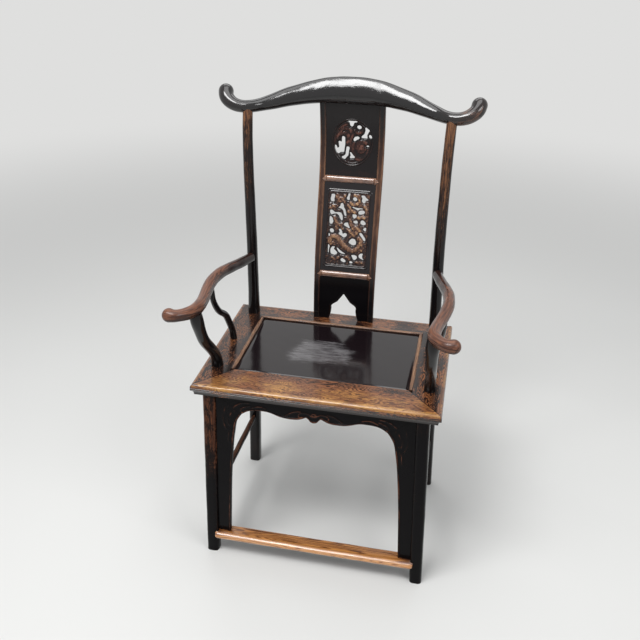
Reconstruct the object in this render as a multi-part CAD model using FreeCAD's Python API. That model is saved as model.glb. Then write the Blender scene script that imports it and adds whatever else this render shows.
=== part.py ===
import FreeCAD, Part
import math
import os

# Chinese official's hat armchair, in millimetres. The origin is on the floor under the middle of the seat,
# +Z is up, the front faces -Y and the right side, seen from the front, is +X.

# Overall sizes
seat_height = 508.0
seat_width = 566.0
seat_depth = 414.0
post_height = 540.5           # seat top to the middle of the crest rail, over a back post
crest_span = 582.0            # between the middles of the two end knobs
arm_rise_at_back = 167.0      # seat top to the middle of the arm, where it meets the back post

# Fits
fit_gap = 0.15                # clearance of a tenon in its mortise and round a coped shoulder
overrun = 30.0                # how far a cutting solid runs past what it cuts
rings_between = 2             # sections from one point of a shaped member to the next
knob_degrees = (25, 47, 64, 77, 86)     # where the sections of a round end stand

# Seat frame
frame_thickness = 29.0
front_rail_width = 85.0
side_rail_width = 80.0
back_rail_width = 69.0
edge_arris = 4.0
edge_face = 12.0
edge_undercut = 7.0
edge_foot = 3.5
edge_cove_share = 0.7         # how far in the cove is, halfway down
corner_tenon_width = 14.0
corner_tenon_thickness = 9.0
corner_tenon_reach = 9.0
corner_tenon_inset = 17.0

# Seat panel, its beads and battens
panel_thickness = 12.0
panel_recess = 2.0
panel_tongue = 7.0
panel_tongue_thickness = 5.0
panel_border = 9.0
panel_border_drop = 1.4
bead_width = 9.0
bead_rebate = 3.0
bead_proud = 1.8
bead_round_share = 0.9
batten_width = 26.0
batten_height = 13.0
batten_spacing = 150.0
batten_tenon = 14.0

# Front legs and back posts
leg_size = 30.5
leg_corner = 9.0              # radius on the corners of the legs below the seat
leg_splay_side = 16.1
leg_splay_front = 2.93
leg_inset_side = 39.5
leg_inset_front = 24.0
leg_tenon_size = 16.0
leg_tenon_height = 19.0
post_size_at_seat = 31.0
post_size_at_crest = 23.5
post_splay_side = 15.63
post_splay_back = 16.61
post_inset_side = 44.0
post_inset_back = 38.0
post_bow = 25.0
post_draw = 6.0
post_tenon_radius = 6.5
post_tenon_height = 7.0
post_shares = [
    (0.0, 0.0, 0.0), (0.10, -0.30, -0.17), (0.20, -0.55, -0.36), (0.336, -0.82, -0.60),
    (0.493, -1.0, -0.85), (0.664, -1.0, -0.98), (0.80, -0.97, -1.0), (0.90, -0.85, -0.80),
    (1.0, -0.67, -0.33),
]

# Crest rail: rows of share of the half span, of the bow, of the rise, and half height and half depth as
# shares of those in the middle
crest_rise = 34.5
crest_half_height = 31.0
crest_half_depth = 17.5
crest_knob_rise = 28.5
crest_knob_set_back = 15.0
splat_height = post_height + crest_rise - crest_half_height     # up to the crest rail's underside
crest_shares = [
    (0.0, 1.0, 1.0, 1.0, 1.0), (0.137, 0.971, 0.985, 0.97, 1.0), (0.258, 0.898, 0.90, 0.887, 0.98),
    (0.378, 0.78, 0.73, 0.79, 0.95), (0.498, 0.62, 0.53, 0.694, 0.91), (0.601, 0.445, 0.30, 0.59, 0.87),
    (0.704, 0.24, 0.09, 0.494, 0.82), (0.808, 0.0, 0.0, 0.458, 0.80),
]
ear_shares = [
    (0.862, -0.22, 0.02, 0.468, 0.81), (0.914, -0.28, 0.16, 0.49, 0.84), (0.960, 0.0, 0.41, 0.53, 0.92),
    (0.989, 0.45, 0.70, 0.56, 0.98), (1.0, 1.0, 1.0, 0.575, 1.0),
]

# Back splat
splat_width = 157.0
splat_thickness = 13.0
splat_stile_width = 15.0
splat_foot_inset = 35.0
splat_sweep = 63.0
splat_rail_height = 17.0
splat_rail_proud = 2.0
splat_rail_lap = 6.0
splat_upper_rail_above = 360.0
splat_lower_rail_above = 124.5
splat_panel_thickness = 8.0
splat_panel_set_back = 2.5
splat_tongue = 5.0
splat_tongue_thickness = 4.0
splat_step = 30.0             # from one point of the S-curve to the next, at most
splat_shares = [
    (0.0, 0.0), (0.12, 0.016), (0.22, 0.08), (0.342, 0.225), (0.454, 0.43), (0.564, 0.665),
    (0.673, 0.885), (0.75, 0.975), (0.805, 1.0), (0.90, 0.955), (1.0, 0.81),
]
ridge_width = 3.0
ridge_proud = 1.2
medallion_above = 451.0
medallion_half_width = 49.0
medallion_half_height = 56.0
openwork_above = 240.5
openwork_half_width = 53.0
openwork_half_height = 91.0
# Pierced holes: place across, place up, half width and half height as shares of the carved field, and turn
medallion_hole_shares = [
    (0.0, 0.76, 0.17, 0.10, 0), (0.36, 0.62, 0.09, 0.06, 0), (0.66, 0.40, 0.09, 0.22, -24),
    (0.84, 0.20, 0.08, 0.08, 0), (0.22, 0.14, 0.15, 0.09, 24), (-0.56, -0.20, 0.15, 0.33, -10),
    (-0.27, -0.52, 0.08, 0.24, -24), (0.0, -0.60, 0.10, 0.14, 20), (-0.50, 0.46, 0.07, 0.17, -38),
    (0.56, -0.56, 0.07, 0.15, -40),
]
openwork_hole_shares = [
    (-0.76, 0.80, 0.10, 0.09, 0), (0.0, 0.85, 0.09, 0.09, -10), (0.32, 0.79, 0.08, 0.04, 0),
    (0.78, 0.81, 0.15, 0.09, 0), (-0.26, 0.54, 0.17, 0.11, -35), (0.34, 0.57, 0.17, 0.03, 5),
    (-0.52, 0.36, 0.27, 0.07, -28), (0.67, 0.48, 0.16, 0.05, 12), (0.30, 0.36, 0.10, 0.05, 0),
    (-0.84, 0.21, 0.10, 0.10, 0), (0.36, 0.20, 0.10, 0.04, 0), (0.70, 0.21, 0.11, 0.06, 0),
    (-0.06, 0.11, 0.12, 0.08, 10), (0.80, 0.04, 0.09, 0.05, 20), (0.69, -0.16, 0.09, 0.11, 35),
    (-0.81, -0.05, 0.09, 0.06, 0), (-0.36, -0.12, 0.10, 0.10, 15), (0.21, -0.31, 0.18, 0.08, -8),
    (-0.90, -0.54, 0.06, 0.12, 0), (-0.66, -0.61, 0.15, 0.09, 30), (-0.16, -0.60, 0.18, 0.035, -28),
    (0.30, -0.72, 0.14, 0.06, 20), (0.72, -0.68, 0.12, 0.09, 10), (-0.22, -0.86, 0.11, 0.06, 0),
    (0.20, -0.88, 0.09, 0.045, 0),
]
ogee_half_width = 38.0
ogee_height = 73.0
ogee_shares = [
    (1.0, 0.0), (0.88, 0.20), (0.84, 0.38), (0.86, 0.50), (0.72, 0.58), (0.44, 0.68), (0.22, 0.84),
    (0.0, 1.0),
]

# Arms: rows of share of the spread, the reach and the lift, and of the arm's thickness
arm_thickness = 27.0
arm_spread = 36.0
arm_reach = 419.0
arm_lift = 39.0
arm_tenon_radius = 6.0
arm_tenon_reach = 20.0
arm_shares = [
    (0.0, 0.0, 0.0, 0.90), (0.03, 0.04, 0.03, 0.90), (0.53, 0.21, 0.23, 0.94), (0.92, 0.365, 0.435, 0.98),
    (1.0, 0.515, 0.54, 1.0), (0.75, 0.668, 0.59, 0.98), (0.50, 0.797, 0.72, 0.98),
    (0.58, 0.933, 0.90, 1.02), (1.0, 0.985, 0.98, 0.96), (1.30, 1.0, 1.0, 1.02),
    (1.56, 0.998, 0.99, 1.12),
]

# Front arm posts and thin middle arm posts, from the side rail up to the arm
gooseneck_thickness = 27.0
gooseneck_from_front = 99.0
gooseneck_inset = 34.0
gooseneck_arm_share = 0.85
gooseneck_shares = [
    (0.0, 0.0, 0.0, 1.04), (0.02, 0.03, 0.07, 1.0), (0.08, 0.14, 0.19, 0.95), (0.15, 0.43, 0.375, 0.94),
    (0.25, 0.715, 0.56, 0.95), (0.35, 0.89, 0.745, 1.0), (0.6, 0.985, 0.90, 1.06), (1.0, 1.0, 1.0, 1.06),
]
arm_post_thickness = 16.5
arm_post_from_back = 188.0
arm_post_inset = 34.0
arm_post_arm_share = 0.507
arm_post_shares = [
    (0.0, 0.0, 0.0, 1.06), (0.04, 0.01, 0.06, 1.0), (0.14, 0.036, 0.144, 1.0), (0.25, 0.157, 0.27, 1.0),
    (0.41, 0.325, 0.41, 1.0), (0.59, 0.64, 0.53, 0.95), (0.73, 0.916, 0.69, 0.86),
    (0.80, 1.01, 0.80, 0.80), (0.88, 1.01, 0.90, 0.78), (1.0, 1.0, 1.0, 0.78),
]
gooseneck_stub = 13.0
gooseneck_tenon_radius = 5.0
arm_post_stub = 9.0
arm_post_tenon_radius = 3.2
stub_depth = 15.0             # how deep the arm posts and the splat stand in the seat frame

# Boards under the seat
board_thickness = 11.0
board_groove = 4.0
board_rise = 3.0              # how far an apron's tongue goes up into the seat frame
board_set_back = 9.0          # from the outer face of a leg to the outer face of a board
spandrel_width = 37.25        # from a front leg's inner face to the arch, under the seat frame
apron_depth = 46.0
arch_foot_flare = 21.0
arch_shares = [
    (1.0, 2.54), (0.985, 2.15), (0.953, 1.52), (0.88, 1.0), (0.785, 0.76), (0.628, 0.674), (0.545, 0.696),
    (0.419, 0.87), (0.298, 0.935), (0.178, 0.89), (0.089, 0.717),
]
cusp_shares = [(0.089, 0.717), (0.066, 0.80), (0.036, 0.955), (0.0, 1.0)]
mitre_row = 3
side_apron_depth = 50.0
tongue_width = 43.0
tongue_neck = 27.0
tongue_tip = 6.0
tongue_shoulder_share = 0.57
tongue_neck_share = 0.667
tongue_bow_shares = (0.3, 0.8)
apron_end_shares = [(0.0, 1.0), (0.05, 0.97), (0.10, 0.78), (0.155, 0.58), (0.22, 0.53), (0.30, 0.52)]

# Footrest and stretchers
footrest_top = 66.0
footrest_thickness = 20.0
footrest_depth = 38.0
footrest_overlap = 8.0
footrest_lap = 8.0
footrest_nose = 8.5
footrest_tenon_width = 16.0
footrest_tenon_thickness = 9.0
upper_stretcher_height = 324.0
upper_stretcher_size = 19.0
lower_stretcher_height = 163.0
lower_stretcher_size = 15.0
stretcher_tenon_share = 0.6
back_stretcher_height = 232.0
back_stretcher_rise = 26.0
back_stretcher_thickness = 16.0
back_stretcher_tenon_rise = 14.0
back_stretcher_tenon_thickness = 7.0
back_stretcher_tenon_corner = 2.0
back_stretcher_corner = 5.0

up = FreeCAD.Vector(0, 0, 1)
across_x = FreeCAD.Vector(1, 0, 0)
across_y = FreeCAD.Vector(0, 1, 0)
underside = seat_height - frame_thickness


def vec(x, y, z):
    return FreeCAD.Vector(x, y, z)


def curve_through(points, places=None):
    # one smooth curve through the points, at these values of its parameter if they are given
    curve = Part.BSplineCurve()
    if places:
        curve.interpolate(Points=points, Parameters=places)
    else:
        curve.interpolate(Points=points)
    return curve


def row_at(table, share):
    # the table's row at this share of its first column, on a smooth curve between the rows
    last = len(table) - 1
    n = 0
    while n < last - 1 and share > table[n + 1][0]:
        n = n + 1
    low, high = table[n], table[n + 1]
    span = high[0] - low[0]
    t = (share - low[0]) / span
    before, after = table[max(n - 1, 0)], table[min(n + 2, last)]
    row = []
    for k in range(1, len(low)):
        start = (high[k] - before[k]) / (high[0] - before[0]) * span
        end = (after[k] - low[k]) / (after[0] - low[0]) * span
        a = (2 * t ** 3 - 3 * t ** 2 + 1) * low[k] + (t ** 3 - 2 * t ** 2 + t) * start
        row.append(a + (3 * t ** 2 - 2 * t ** 3) * high[k] + (t ** 3 - t ** 2) * end)
    return row


def place_on(curve, share):
    # the point and the direction at this share of a curve
    at = curve.FirstParameter + share * (curve.LastParameter - curve.FirstParameter)
    return curve.value(at), curve.tangent(at)[0]


def section_axes(along, across):
    side = across - along * across.dot(along)
    side.normalize()
    return side, along.cross(side).normalize()


def ring(centre, along, across, half_across, half_other):
    # an oval section square to 'along'
    side, other = section_axes(along, across)
    oval = Part.Circle(vec(0, 0, 0), up, 1).toBSpline()
    for n, pole in enumerate(oval.getPoles()):
        oval.setPole(n + 1, centre + side * pole.x * half_across + other * pole.y * half_other)
    return Part.Wire(oval.toShape())


def block_ring(centre, along, across, half_across, half_other, corner):
    # a rectangular section with round corners, square to 'along'
    side, other = section_axes(along, across)
    slope = corner * math.sqrt(0.5)
    edges = []
    last = None
    for turn in range(4):
        if turn % 2:
            half_wide, half_high = half_other, half_across
        else:
            half_wide, half_high = half_across, half_other
        middle = centre + side * (half_wide - corner) + other * (half_high - corner)
        arc = (middle + side * corner, middle + (side + other) * slope, middle + other * corner)
        if last:
            edges.append(Part.makeLine(last, arc[0]))
        else:
            first = arc[0]
        edges.append(Part.Arc(*arc).toShape())
        last = arc[2]
        side, other = other, side * -1
    edges.append(Part.makeLine(last, first))
    return Part.Wire(edges)


def member(rings):
    return Part.makeLoft(rings, True, True)


def along_curve(points, sizes, across, start_along=None):
    # the sections of a shaped member: a smooth curve through the points, half sizes to match, and the curve
    places = [0]
    for a, b in zip(points[:-1], points[1:]):
        places.append(places[-1] + (b - a).Length)
    path = curve_through(points, places)
    sizing = curve_through([vec(size[0], size[1], at) for size, at in zip(sizes, places)], places)
    stations = []
    for low, high in zip(places[:-1], places[1:]):
        stations.extend(low + (high - low) * n / rings_between for n in range(rings_between))
    rings = []
    for at in stations + [places[-1]]:
        along = path.tangent(at)[0]
        if start_along and at == 0:
            along = start_along
        size = sizing.value(at)
        rings.append(ring(path.value(at), along, across, size.x, size.y))
    return rings, path


def knob_rings(centre, along, across, half_across, half_other, side=1):
    # sections that close the end of a member in a round knob; side is -1 at the start of its curve
    rings = []
    for degrees in knob_degrees:
        a = math.radians(degrees)
        reach = math.sin(a) * (half_across + half_other) / 2 * side
        shrink = math.cos(a)
        rings.append(ring(centre + along * reach, along, across, half_across * shrink, half_other * shrink))
    return rings


def runs_along(edge, direction):
    # for the straight edges of a block
    return round(edge.tangentAt(edge.FirstParameter).dot(direction)) != 0


def box(x0, x1, y0, y1, z0, z1):
    low = vec(min(x0, x1), min(y0, y1), min(z0, z1))
    return Part.makeBox(abs(x1 - x0), abs(y1 - y0), abs(z1 - z0), low)


def mirrored(shape):
    return shape.mirror(vec(0, 0, 0), across_x)


def prism(points, push):
    # a flat outline of straight lines, pushed into a solid
    wire = Part.makePolygon(points + [points[0]])
    return Part.Face(wire).extrude(push)


def outline_prism(edges, push):
    return Part.Face(Part.Wire(Part.__sortEdges__(edges))).extrude(push)


def stick(start, end, radius):
    # a round stick from start to end
    run = end - start
    return Part.makeCylinder(radius, run.Length, start, run)


def single(shape):
    # the biggest solid of a cut
    return max(shape.Solids, key=lambda solid: solid.Volume)


def joined(shape, *others):
    return shape.fuse(list(others)).removeSplitter()


# Legs and back posts

def front_leg_centre(z):
    drop = (underside - z) / underside
    x = seat_width / 2 - leg_inset_side + leg_splay_side * drop
    y = -seat_depth / 2 + leg_inset_front - leg_splay_front * drop
    return vec(x, y, z)


def post_centre(z):
    x = seat_width / 2 - post_inset_side
    y = seat_depth / 2 - post_inset_back
    if z <= seat_height:
        drop = (seat_height - z) / seat_height
        return vec(x + post_splay_side * drop, y + post_splay_back * drop, z)
    draw, bow = row_at(post_shares, (z - seat_height) / post_height)
    return vec(x + post_draw * draw, y + post_bow * bow, z)


def front_leg_stock(grow):
    sizes = (leg_size / 2 + grow, leg_size / 2 + grow, leg_corner + grow)
    return member([block_ring(front_leg_centre(z), up, across_x, *sizes) for z in (0, underside)])


def post_foot_stock(grow):
    # the squarish lower part of a back post; the seat frame rests on its shoulders
    sizes = (post_size_at_seat / 2 + grow, post_size_at_seat / 2 + grow, leg_corner + grow)
    return member([block_ring(post_centre(z), up, across_x, *sizes) for z in (0, underside)])


def post_upper_stock(grow):
    # the round part of a back post, through the seat frame and up in a bow
    points = [post_centre(underside)]
    sizes = [(post_size_at_seat / 2 + grow, post_size_at_seat / 2 + grow)]
    for share in [row[0] for row in post_shares]:
        size = post_size_at_seat + (post_size_at_crest - post_size_at_seat) * math.sqrt(share)
        points.append(post_centre(seat_height + share * post_height))
        sizes.append((size / 2 + grow, size / 2 + grow))
    return member(along_curve(points, sizes, across_x, up)[0])


# Crest rail

splat_foot_y = seat_depth / 2 - splat_foot_inset
splat_top = seat_height + splat_height
splat_inner_half = splat_width / 2 - splat_stile_width


def splat_curve():
    # the front of the splat seen from the side, a little past both its ends; its parameter is the height
    low = seat_height - overrun
    high = splat_top + overrun
    count = math.ceil((high - low) / splat_step)
    heights = [low + (high - low) * n / count for n in range(count + 1)]
    points = []
    for z in heights:
        sweep = row_at(splat_shares, (z - seat_height) / splat_height)[0]
        points.append(vec(0, splat_foot_y + splat_sweep * sweep, z))
    return curve_through(points, heights)


splat_path = splat_curve()


def splat_front_y(z):
    return splat_path.value(z).y


def crest_stock(grow):
    post_top = post_centre(seat_height + post_height)
    middle_y = splat_front_y(splat_top) + splat_thickness / 2
    bow = middle_y - post_top.y
    points = []
    sizes = []
    for table, set_back, lift in ((crest_shares, bow, crest_rise),
                                  (ear_shares, crest_knob_set_back, crest_knob_rise)):
        for across, back, rise, height, depth in table:
            points.append(post_top + vec(across * crest_span / 2 - post_top.x, set_back * back, lift * rise))
            sizes.append((crest_half_depth * depth + grow, crest_half_height * height + grow))
    left = [vec(-p.x, p.y, p.z) for p in points[:0:-1]]
    rings, path = along_curve(left + points, sizes[:0:-1] + sizes, across_y)
    start = path.tangent(path.FirstParameter)[0]
    end = path.tangent(path.LastParameter)[0]
    head = knob_rings(left[0], start, across_y, *sizes[-1], -1)
    tail = knob_rings(points[-1], end, across_y, *sizes[-1])
    return member(head[::-1] + rings + tail)


# Arms and their posts

def arm_points():
    start = post_centre(seat_height + arm_rise_at_back)
    points = []
    sizes = []
    for spread, reach, lift, thickness in arm_shares:
        points.append(start + vec(arm_spread * spread, -arm_reach * reach, arm_lift * lift))
        sizes.append(arm_thickness * thickness / 2)
    return points, sizes


def arm_curve():
    return curve_through(arm_points()[0])


def arm_stock(grow):
    points, sizes = arm_points()
    sizes = [(size + grow, size + grow) for size in sizes]
    rings, path = along_curve(points, sizes, up)
    end = path.tangent(path.LastParameter)[0]
    return member(rings + knob_rings(points[-1], end, up, *sizes[-1]))


def strut_stock(table, base, top, size):
    # a curved upright from the side rail to the middle of the arm, and its curve
    run = top - base
    points = []
    sizes = []
    for across, back, rise, thickness in table:
        points.append(base + vec(run.x * across, run.y * back, run.z * rise))
        sizes.append((size * thickness / 2, size * thickness / 2))
    rings, path = along_curve(points, sizes, across_x, up)
    return member(rings), path


def gooseneck_ends():
    base = vec(seat_width / 2 - gooseneck_inset, -seat_depth / 2 + gooseneck_from_front, seat_height)
    return base, place_on(arm_curve(), gooseneck_arm_share)[0]


def arm_post_ends():
    base = vec(seat_width / 2 - arm_post_inset, seat_depth / 2 - arm_post_from_back, seat_height)
    return base, place_on(arm_curve(), arm_post_arm_share)[0]


def strut_tenon(path, radius, grow):
    # a round tenon from the top of an upright into the middle of the arm
    top, along = place_on(path, 1)
    return stick(top - along * (arm_thickness / 2 + radius), top + along * grow, radius + grow)


def stub(centre, half, low, high):
    # a square tenon, upright
    return box(centre.x - half, centre.x + half, centre.y - half, centre.y + half, low, high)


def rail_stub(base, size, grow):
    # a square tenon from the foot of an upright down into the side rail
    return stub(base, size / 2 + grow, seat_height - stub_depth - grow, seat_height + size / 2)


def arm_tenon(grow):
    start, along = place_on(arm_curve(), 0)
    return stick(start - along * grow, start + along * arm_tenon_reach, arm_tenon_radius + grow)


def post_tenon(grow):
    # from the top of a back post up into the crest rail
    top = post_centre(seat_height + post_height)
    reach = crest_half_height * crest_shares[-1][3] + post_tenon_radius / 2
    return stick(top - up * reach, top + up * (post_tenon_height + grow), post_tenon_radius + grow)


# Splat: solids between two heights that follow its S-curve, seen from the side

def splat_slab(half, low, high, set_back, thickness, side=0):
    # a curved slab from side - half to side + half
    through = across_y * thickness
    front = splat_path.toShape(low, high).translated(vec(side - half, set_back, 0))
    edges = [front, front.translated(through)]
    for end in (front.firstVertex().Point, front.lastVertex().Point):
        edges.append(Part.makeLine(end, end + through))
    return outline_prism(edges, vec(2 * half, 0, 0))


def oval_prism(centre, half_wide, half_high, turn=0):
    # an oval tunnel through the splat
    a = math.radians(turn)
    across = vec(math.cos(a), 0, math.sin(a))
    wire = ring(centre - across_y * overrun, across_y, across, half_wide, half_high)
    return Part.Face(wire).extrude(across_y * 2 * overrun)


def pierced(panel, table, middle, half_wide, half_high):
    # a carved panel less its holes
    cut = []
    for across, rise, wide, high, turn in table:
        centre = middle + vec(across * half_wide, 0, rise * half_high)
        cut.append(oval_prism(centre, wide * half_wide, high * half_high, turn))
    return single(panel.cut(cut))


def ridge(low, high, outline, inside):
    # a raised line on the face of a carved panel, between two outlines
    slab = splat_slab(splat_inner_half, low, high, splat_panel_set_back - ridge_proud, splat_panel_thickness)
    return slab.common(outline).cut(inside)


def rounded_prism(half_wide, middle_z, half_high, corner):
    # an upright rounded rectangle through the splat
    y = splat_foot_y - overrun
    block = box(-half_wide, half_wide, y, y + 2 * overrun + splat_sweep,
                middle_z - half_high, middle_z + half_high)
    return block.makeFillet(corner, [edge for edge in block.Edges if runs_along(edge, across_y)])


def splat_tongue_stock(low, high, grow):
    # the tongue round a splat panel, which fits the grooves of its frame
    half = splat_inner_half + splat_tongue + grow
    set_back = splat_panel_set_back + (splat_panel_thickness - splat_tongue_thickness) / 2 - grow
    return splat_slab(half, low - grow, high + grow, set_back, splat_tongue_thickness + 2 * grow)


def splat_panel(low, high):
    return splat_slab(splat_inner_half, low, high, splat_panel_set_back, splat_panel_thickness)


def splat_rail_tenon(middle, grow):
    half = splat_inner_half + 2 * splat_tongue + grow
    rise = splat_rail_height / 2 - splat_tongue - fit_gap + grow
    set_back = splat_panel_set_back + (splat_panel_thickness - splat_tongue_thickness) / 2 - grow
    return splat_slab(half, middle - rise, middle + rise, set_back, splat_tongue_thickness + 2 * grow)


def splat_rail(middle):
    # a cross rail; its pointed ends lap over the fronts of the stiles
    low = middle - splat_rail_height / 2
    high = middle + splat_rail_height / 2
    front = -splat_rail_proud - fit_gap
    body = splat_slab(splat_inner_half, low, high, front, splat_thickness - front)
    lap = splat_slab(splat_inner_half + splat_rail_lap, low, high, front, splat_rail_proud)
    tip = splat_inner_half + splat_rail_lap
    y = splat_foot_y - overrun
    outline = [vec(-tip, y, middle), vec(-splat_inner_half, y, high), vec(splat_inner_half, y, high),
               vec(tip, y, middle), vec(splat_inner_half, y, low), vec(-splat_inner_half, y, low)]
    lap = lap.common(prism(outline, across_y * (2 * overrun + splat_sweep)))
    return joined(body, lap, splat_rail_tenon(middle, 0))


def stile_tenons(grow):
    # from the right stile down into the back rail and up into the crest rail
    x = splat_width / 2 - splat_stile_width / 2
    half_x = splat_stile_width / 4 + grow
    half_y = splat_thickness / 4 + grow
    tenons = []
    for z, reach in ((seat_height, -stub_depth), (splat_top, stub_depth)):
        y = splat_front_y(z) + splat_thickness / 2
        end = z + reach + math.copysign(grow, reach)
        tenons.append(box(x - half_x, x + half_x, y - half_y, y + half_y, end, z - reach / 2))
    return tenons


# Seat frame: one moulded section, run along each side and cut to its mitres

def rail_section(width, place):
    # place turns a distance from the outer edge and a height into a point
    arris_z = seat_height - edge_arris
    face_z = arris_z - edge_face
    foot_z = underside + edge_foot
    corner = edge_arris * (1 - math.sqrt(0.5))
    arris = Part.Arc(place(edge_arris, seat_height), place(corner, seat_height - corner), place(0, arris_z))
    cove_mid = place(edge_undercut * edge_cove_share, (face_z + foot_z) / 2)
    cove = Part.Arc(place(0, face_z), cove_mid, place(edge_undercut, foot_z))
    edges = [arris.toShape(), cove.toShape()]
    edges.append(Part.makeLine(place(0, arris_z), place(0, face_z)))
    edges.append(Part.makeLine(place(edge_undercut, foot_z), place(edge_undercut, underside)))
    edges.append(Part.makeLine(place(edge_undercut, underside), place(width, underside)))
    edges.append(Part.makeLine(place(width, underside), place(width, seat_height)))
    edges.append(Part.makeLine(place(width, seat_height), place(edge_arris, seat_height)))
    return edges


inner_x = seat_width / 2 - side_rail_width
inner_front = -seat_depth / 2 + front_rail_width
inner_back = seat_depth / 2 - back_rail_width


def front_back_rail(side, width, inner_y):
    # side is -1 for the front rail and 1 for the back rail
    edge_y = side * seat_depth / 2
    start = -seat_width / 2
    edges = rail_section(width, lambda inward, z: vec(start, edge_y - side * inward, z))
    run = outline_prism(edges, vec(seat_width, 0, 0))
    low = underside - overrun
    plan = [vec(start, edge_y, low), vec(-start, edge_y, low), vec(inner_x, inner_y, low),
            vec(-inner_x, inner_y, low)]
    return run.common(prism(plan, up * (frame_thickness + 2 * overrun)))


def side_rail():
    edge_x = seat_width / 2
    start = -seat_depth / 2
    edges = rail_section(side_rail_width, lambda inward, z: vec(edge_x - inward, start, z))
    run = outline_prism(edges, vec(0, seat_depth, 0))
    low = underside - overrun
    plan = [vec(edge_x, start, low), vec(edge_x, -start, low), vec(inner_x, inner_back, low),
            vec(inner_x, inner_front, low)]
    return run.common(prism(plan, up * (frame_thickness + 2 * overrun)))


def corner_tenon(side, grow):
    # crosses the mitre between the right rail and the front (-1) or back (1) rail
    x = seat_width / 2 - corner_tenon_inset
    width = front_rail_width if side < 0 else back_rail_width
    y = side * (seat_depth / 2 - corner_tenon_inset * width / side_rail_width)
    half = corner_tenon_width / 2 + grow
    z = seat_height - (frame_thickness - corner_tenon_thickness) / 2
    tip = y + side * (corner_tenon_reach + grow)
    root = y - side * (corner_tenon_reach + corner_tenon_width)
    return box(x - half, x + half, root, tip, z - corner_tenon_thickness - grow, z + grow)


def panel_tongue_stock(grow):
    # the thin edge of the panel, which floats in the grooves of the frame
    reach = panel_tongue + grow
    high = seat_height - panel_recess - (panel_thickness - panel_tongue_thickness) / 2
    return box(-inner_x - reach, inner_x + reach, inner_front - reach, inner_back + reach,
               high - panel_tongue_thickness - grow, high + grow)


def seat_panel():
    # a board whose field stands a little over its sloping border
    top = seat_height - panel_recess
    low = top - panel_border_drop
    x = inner_x - fit_gap
    front = inner_front + fit_gap
    back = inner_back - fit_gap
    board = box(-x, x, front, back, top - panel_thickness, low)
    wires = []
    for inset, z in ((0, low), (panel_border, top)):
        points = [vec(inset - x, front + inset, z), vec(x - inset, front + inset, z),
                  vec(x - inset, back - inset, z), vec(inset - x, back - inset, z)]
        wires.append(Part.makePolygon(points + [points[0]]))
    return joined(board, member(wires), panel_tongue_stock(0))


def bead_rebate_box():
    # the step that the right bead and the back bead lie in
    far = bead_width + fit_gap
    low = seat_height - bead_rebate
    side = box(inner_x, inner_x + far, inner_front, inner_back + far, low, seat_height + overrun)
    back = box(-inner_x - far, inner_x + far, inner_back, inner_back + far, low, seat_height + overrun)
    return side.fuse(back)


def batten(grow):
    # under the panel, with its ends tenoned into the front and back rails
    high = seat_height - panel_recess - panel_thickness
    x = batten_spacing / 2
    half = batten_width / 2
    body = box(x - half, x + half, inner_front, inner_back, high - batten_height, high)
    half = half / 2 + grow
    inset = batten_height / 4 - grow
    tenon = box(x - half, x + half, inner_front - batten_tenon - grow, inner_back + batten_tenon + grow,
                high - batten_height + inset, high - inset)
    return body.fuse(tenon) if grow == 0 else tenon


def leg_tenon(grow):
    return stub(front_leg_centre(underside), leg_tenon_size / 2 + grow, underside - leg_tenon_height,
                underside + leg_tenon_height + grow)


def bead(x0, x1, y0, y1):
    # a bead set in the frame's inner edge, its top rounded along its length
    low = seat_height - bead_rebate
    high = seat_height + bead_proud
    body = box(x0, x1, y0, y1, low, high)
    along = across_y if abs(y1 - y0) > abs(x1 - x0) else across_x
    edges = []
    for edge in body.Edges:
        if edge.CenterOfMass.z > high - bead_proud / 2 and runs_along(edge, along):
            edges.append(edge)
    return body.makeFillet(bead_proud * bead_round_share, edges)


# Boards under the seat

def arch_half_width():
    return front_leg_centre(underside).x - leg_size / 2 - spandrel_width


def arch_points(table):
    # points of the front arch for x from the leg to the middle
    return [vec(arch_half_width() * x, 0, underside - apron_depth * drop) for x, drop in table]


def riser(x0, x1, y0, y1, grow):
    # the strip of an apron that stands up into a groove under the seat frame
    return box(x0 - grow, x1 + grow, y0 - grow, y1 + grow, underside, underside + board_rise + grow)


def front_board_y():
    return front_leg_centre(underside).y - leg_size / 2 + board_set_back


def front_riser(grow):
    half = front_leg_centre(underside).x - leg_size / 2
    y = front_board_y()
    return riser(-half, half, y, y + board_thickness, grow)


def front_arch(grow):
    # apron and spandrels as one board between the middles of the legs, less the arch
    y = front_board_y() - grow
    depth = board_thickness + 2 * grow
    foot = vec(arch_half_width() + arch_foot_flare, 0, footrest_top)
    right = [curve_through([foot] + arch_points(arch_shares)).toShape()]
    right.append(curve_through(arch_points(cusp_shares)).toShape())
    left = [edge.mirror(vec(0, 0, 0), across_x) for edge in right]
    floor = Part.makeLine(foot, vec(-foot.x, foot.y, foot.z))
    opening = outline_prism(right + left + [floor], across_y * (2 * overrun + depth))
    opening.translate(across_y * (y - overrun))
    low = front_leg_centre(footrest_top).x
    high = front_leg_centre(underside).x
    outline = [vec(-low, y, footrest_top), vec(low, y, footrest_top), vec(high, y, underside),
               vec(-high, y, underside)]
    return prism(outline, across_y * depth).cut(opening)


def mitre_wedge():
    # takes the apron out of the front arch, down to its mitres
    x = front_leg_centre(underside).x - leg_size / 2
    mitre = arch_points([arch_shares[mitre_row]])[0]
    y = -seat_depth
    outline = [vec(-x, y, underside), vec(x, y, underside), vec(mitre.x, y, mitre.z), vec(0, y, footrest_top),
               vec(-mitre.x, y, mitre.z)]
    return prism(outline, across_y * seat_depth)


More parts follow.
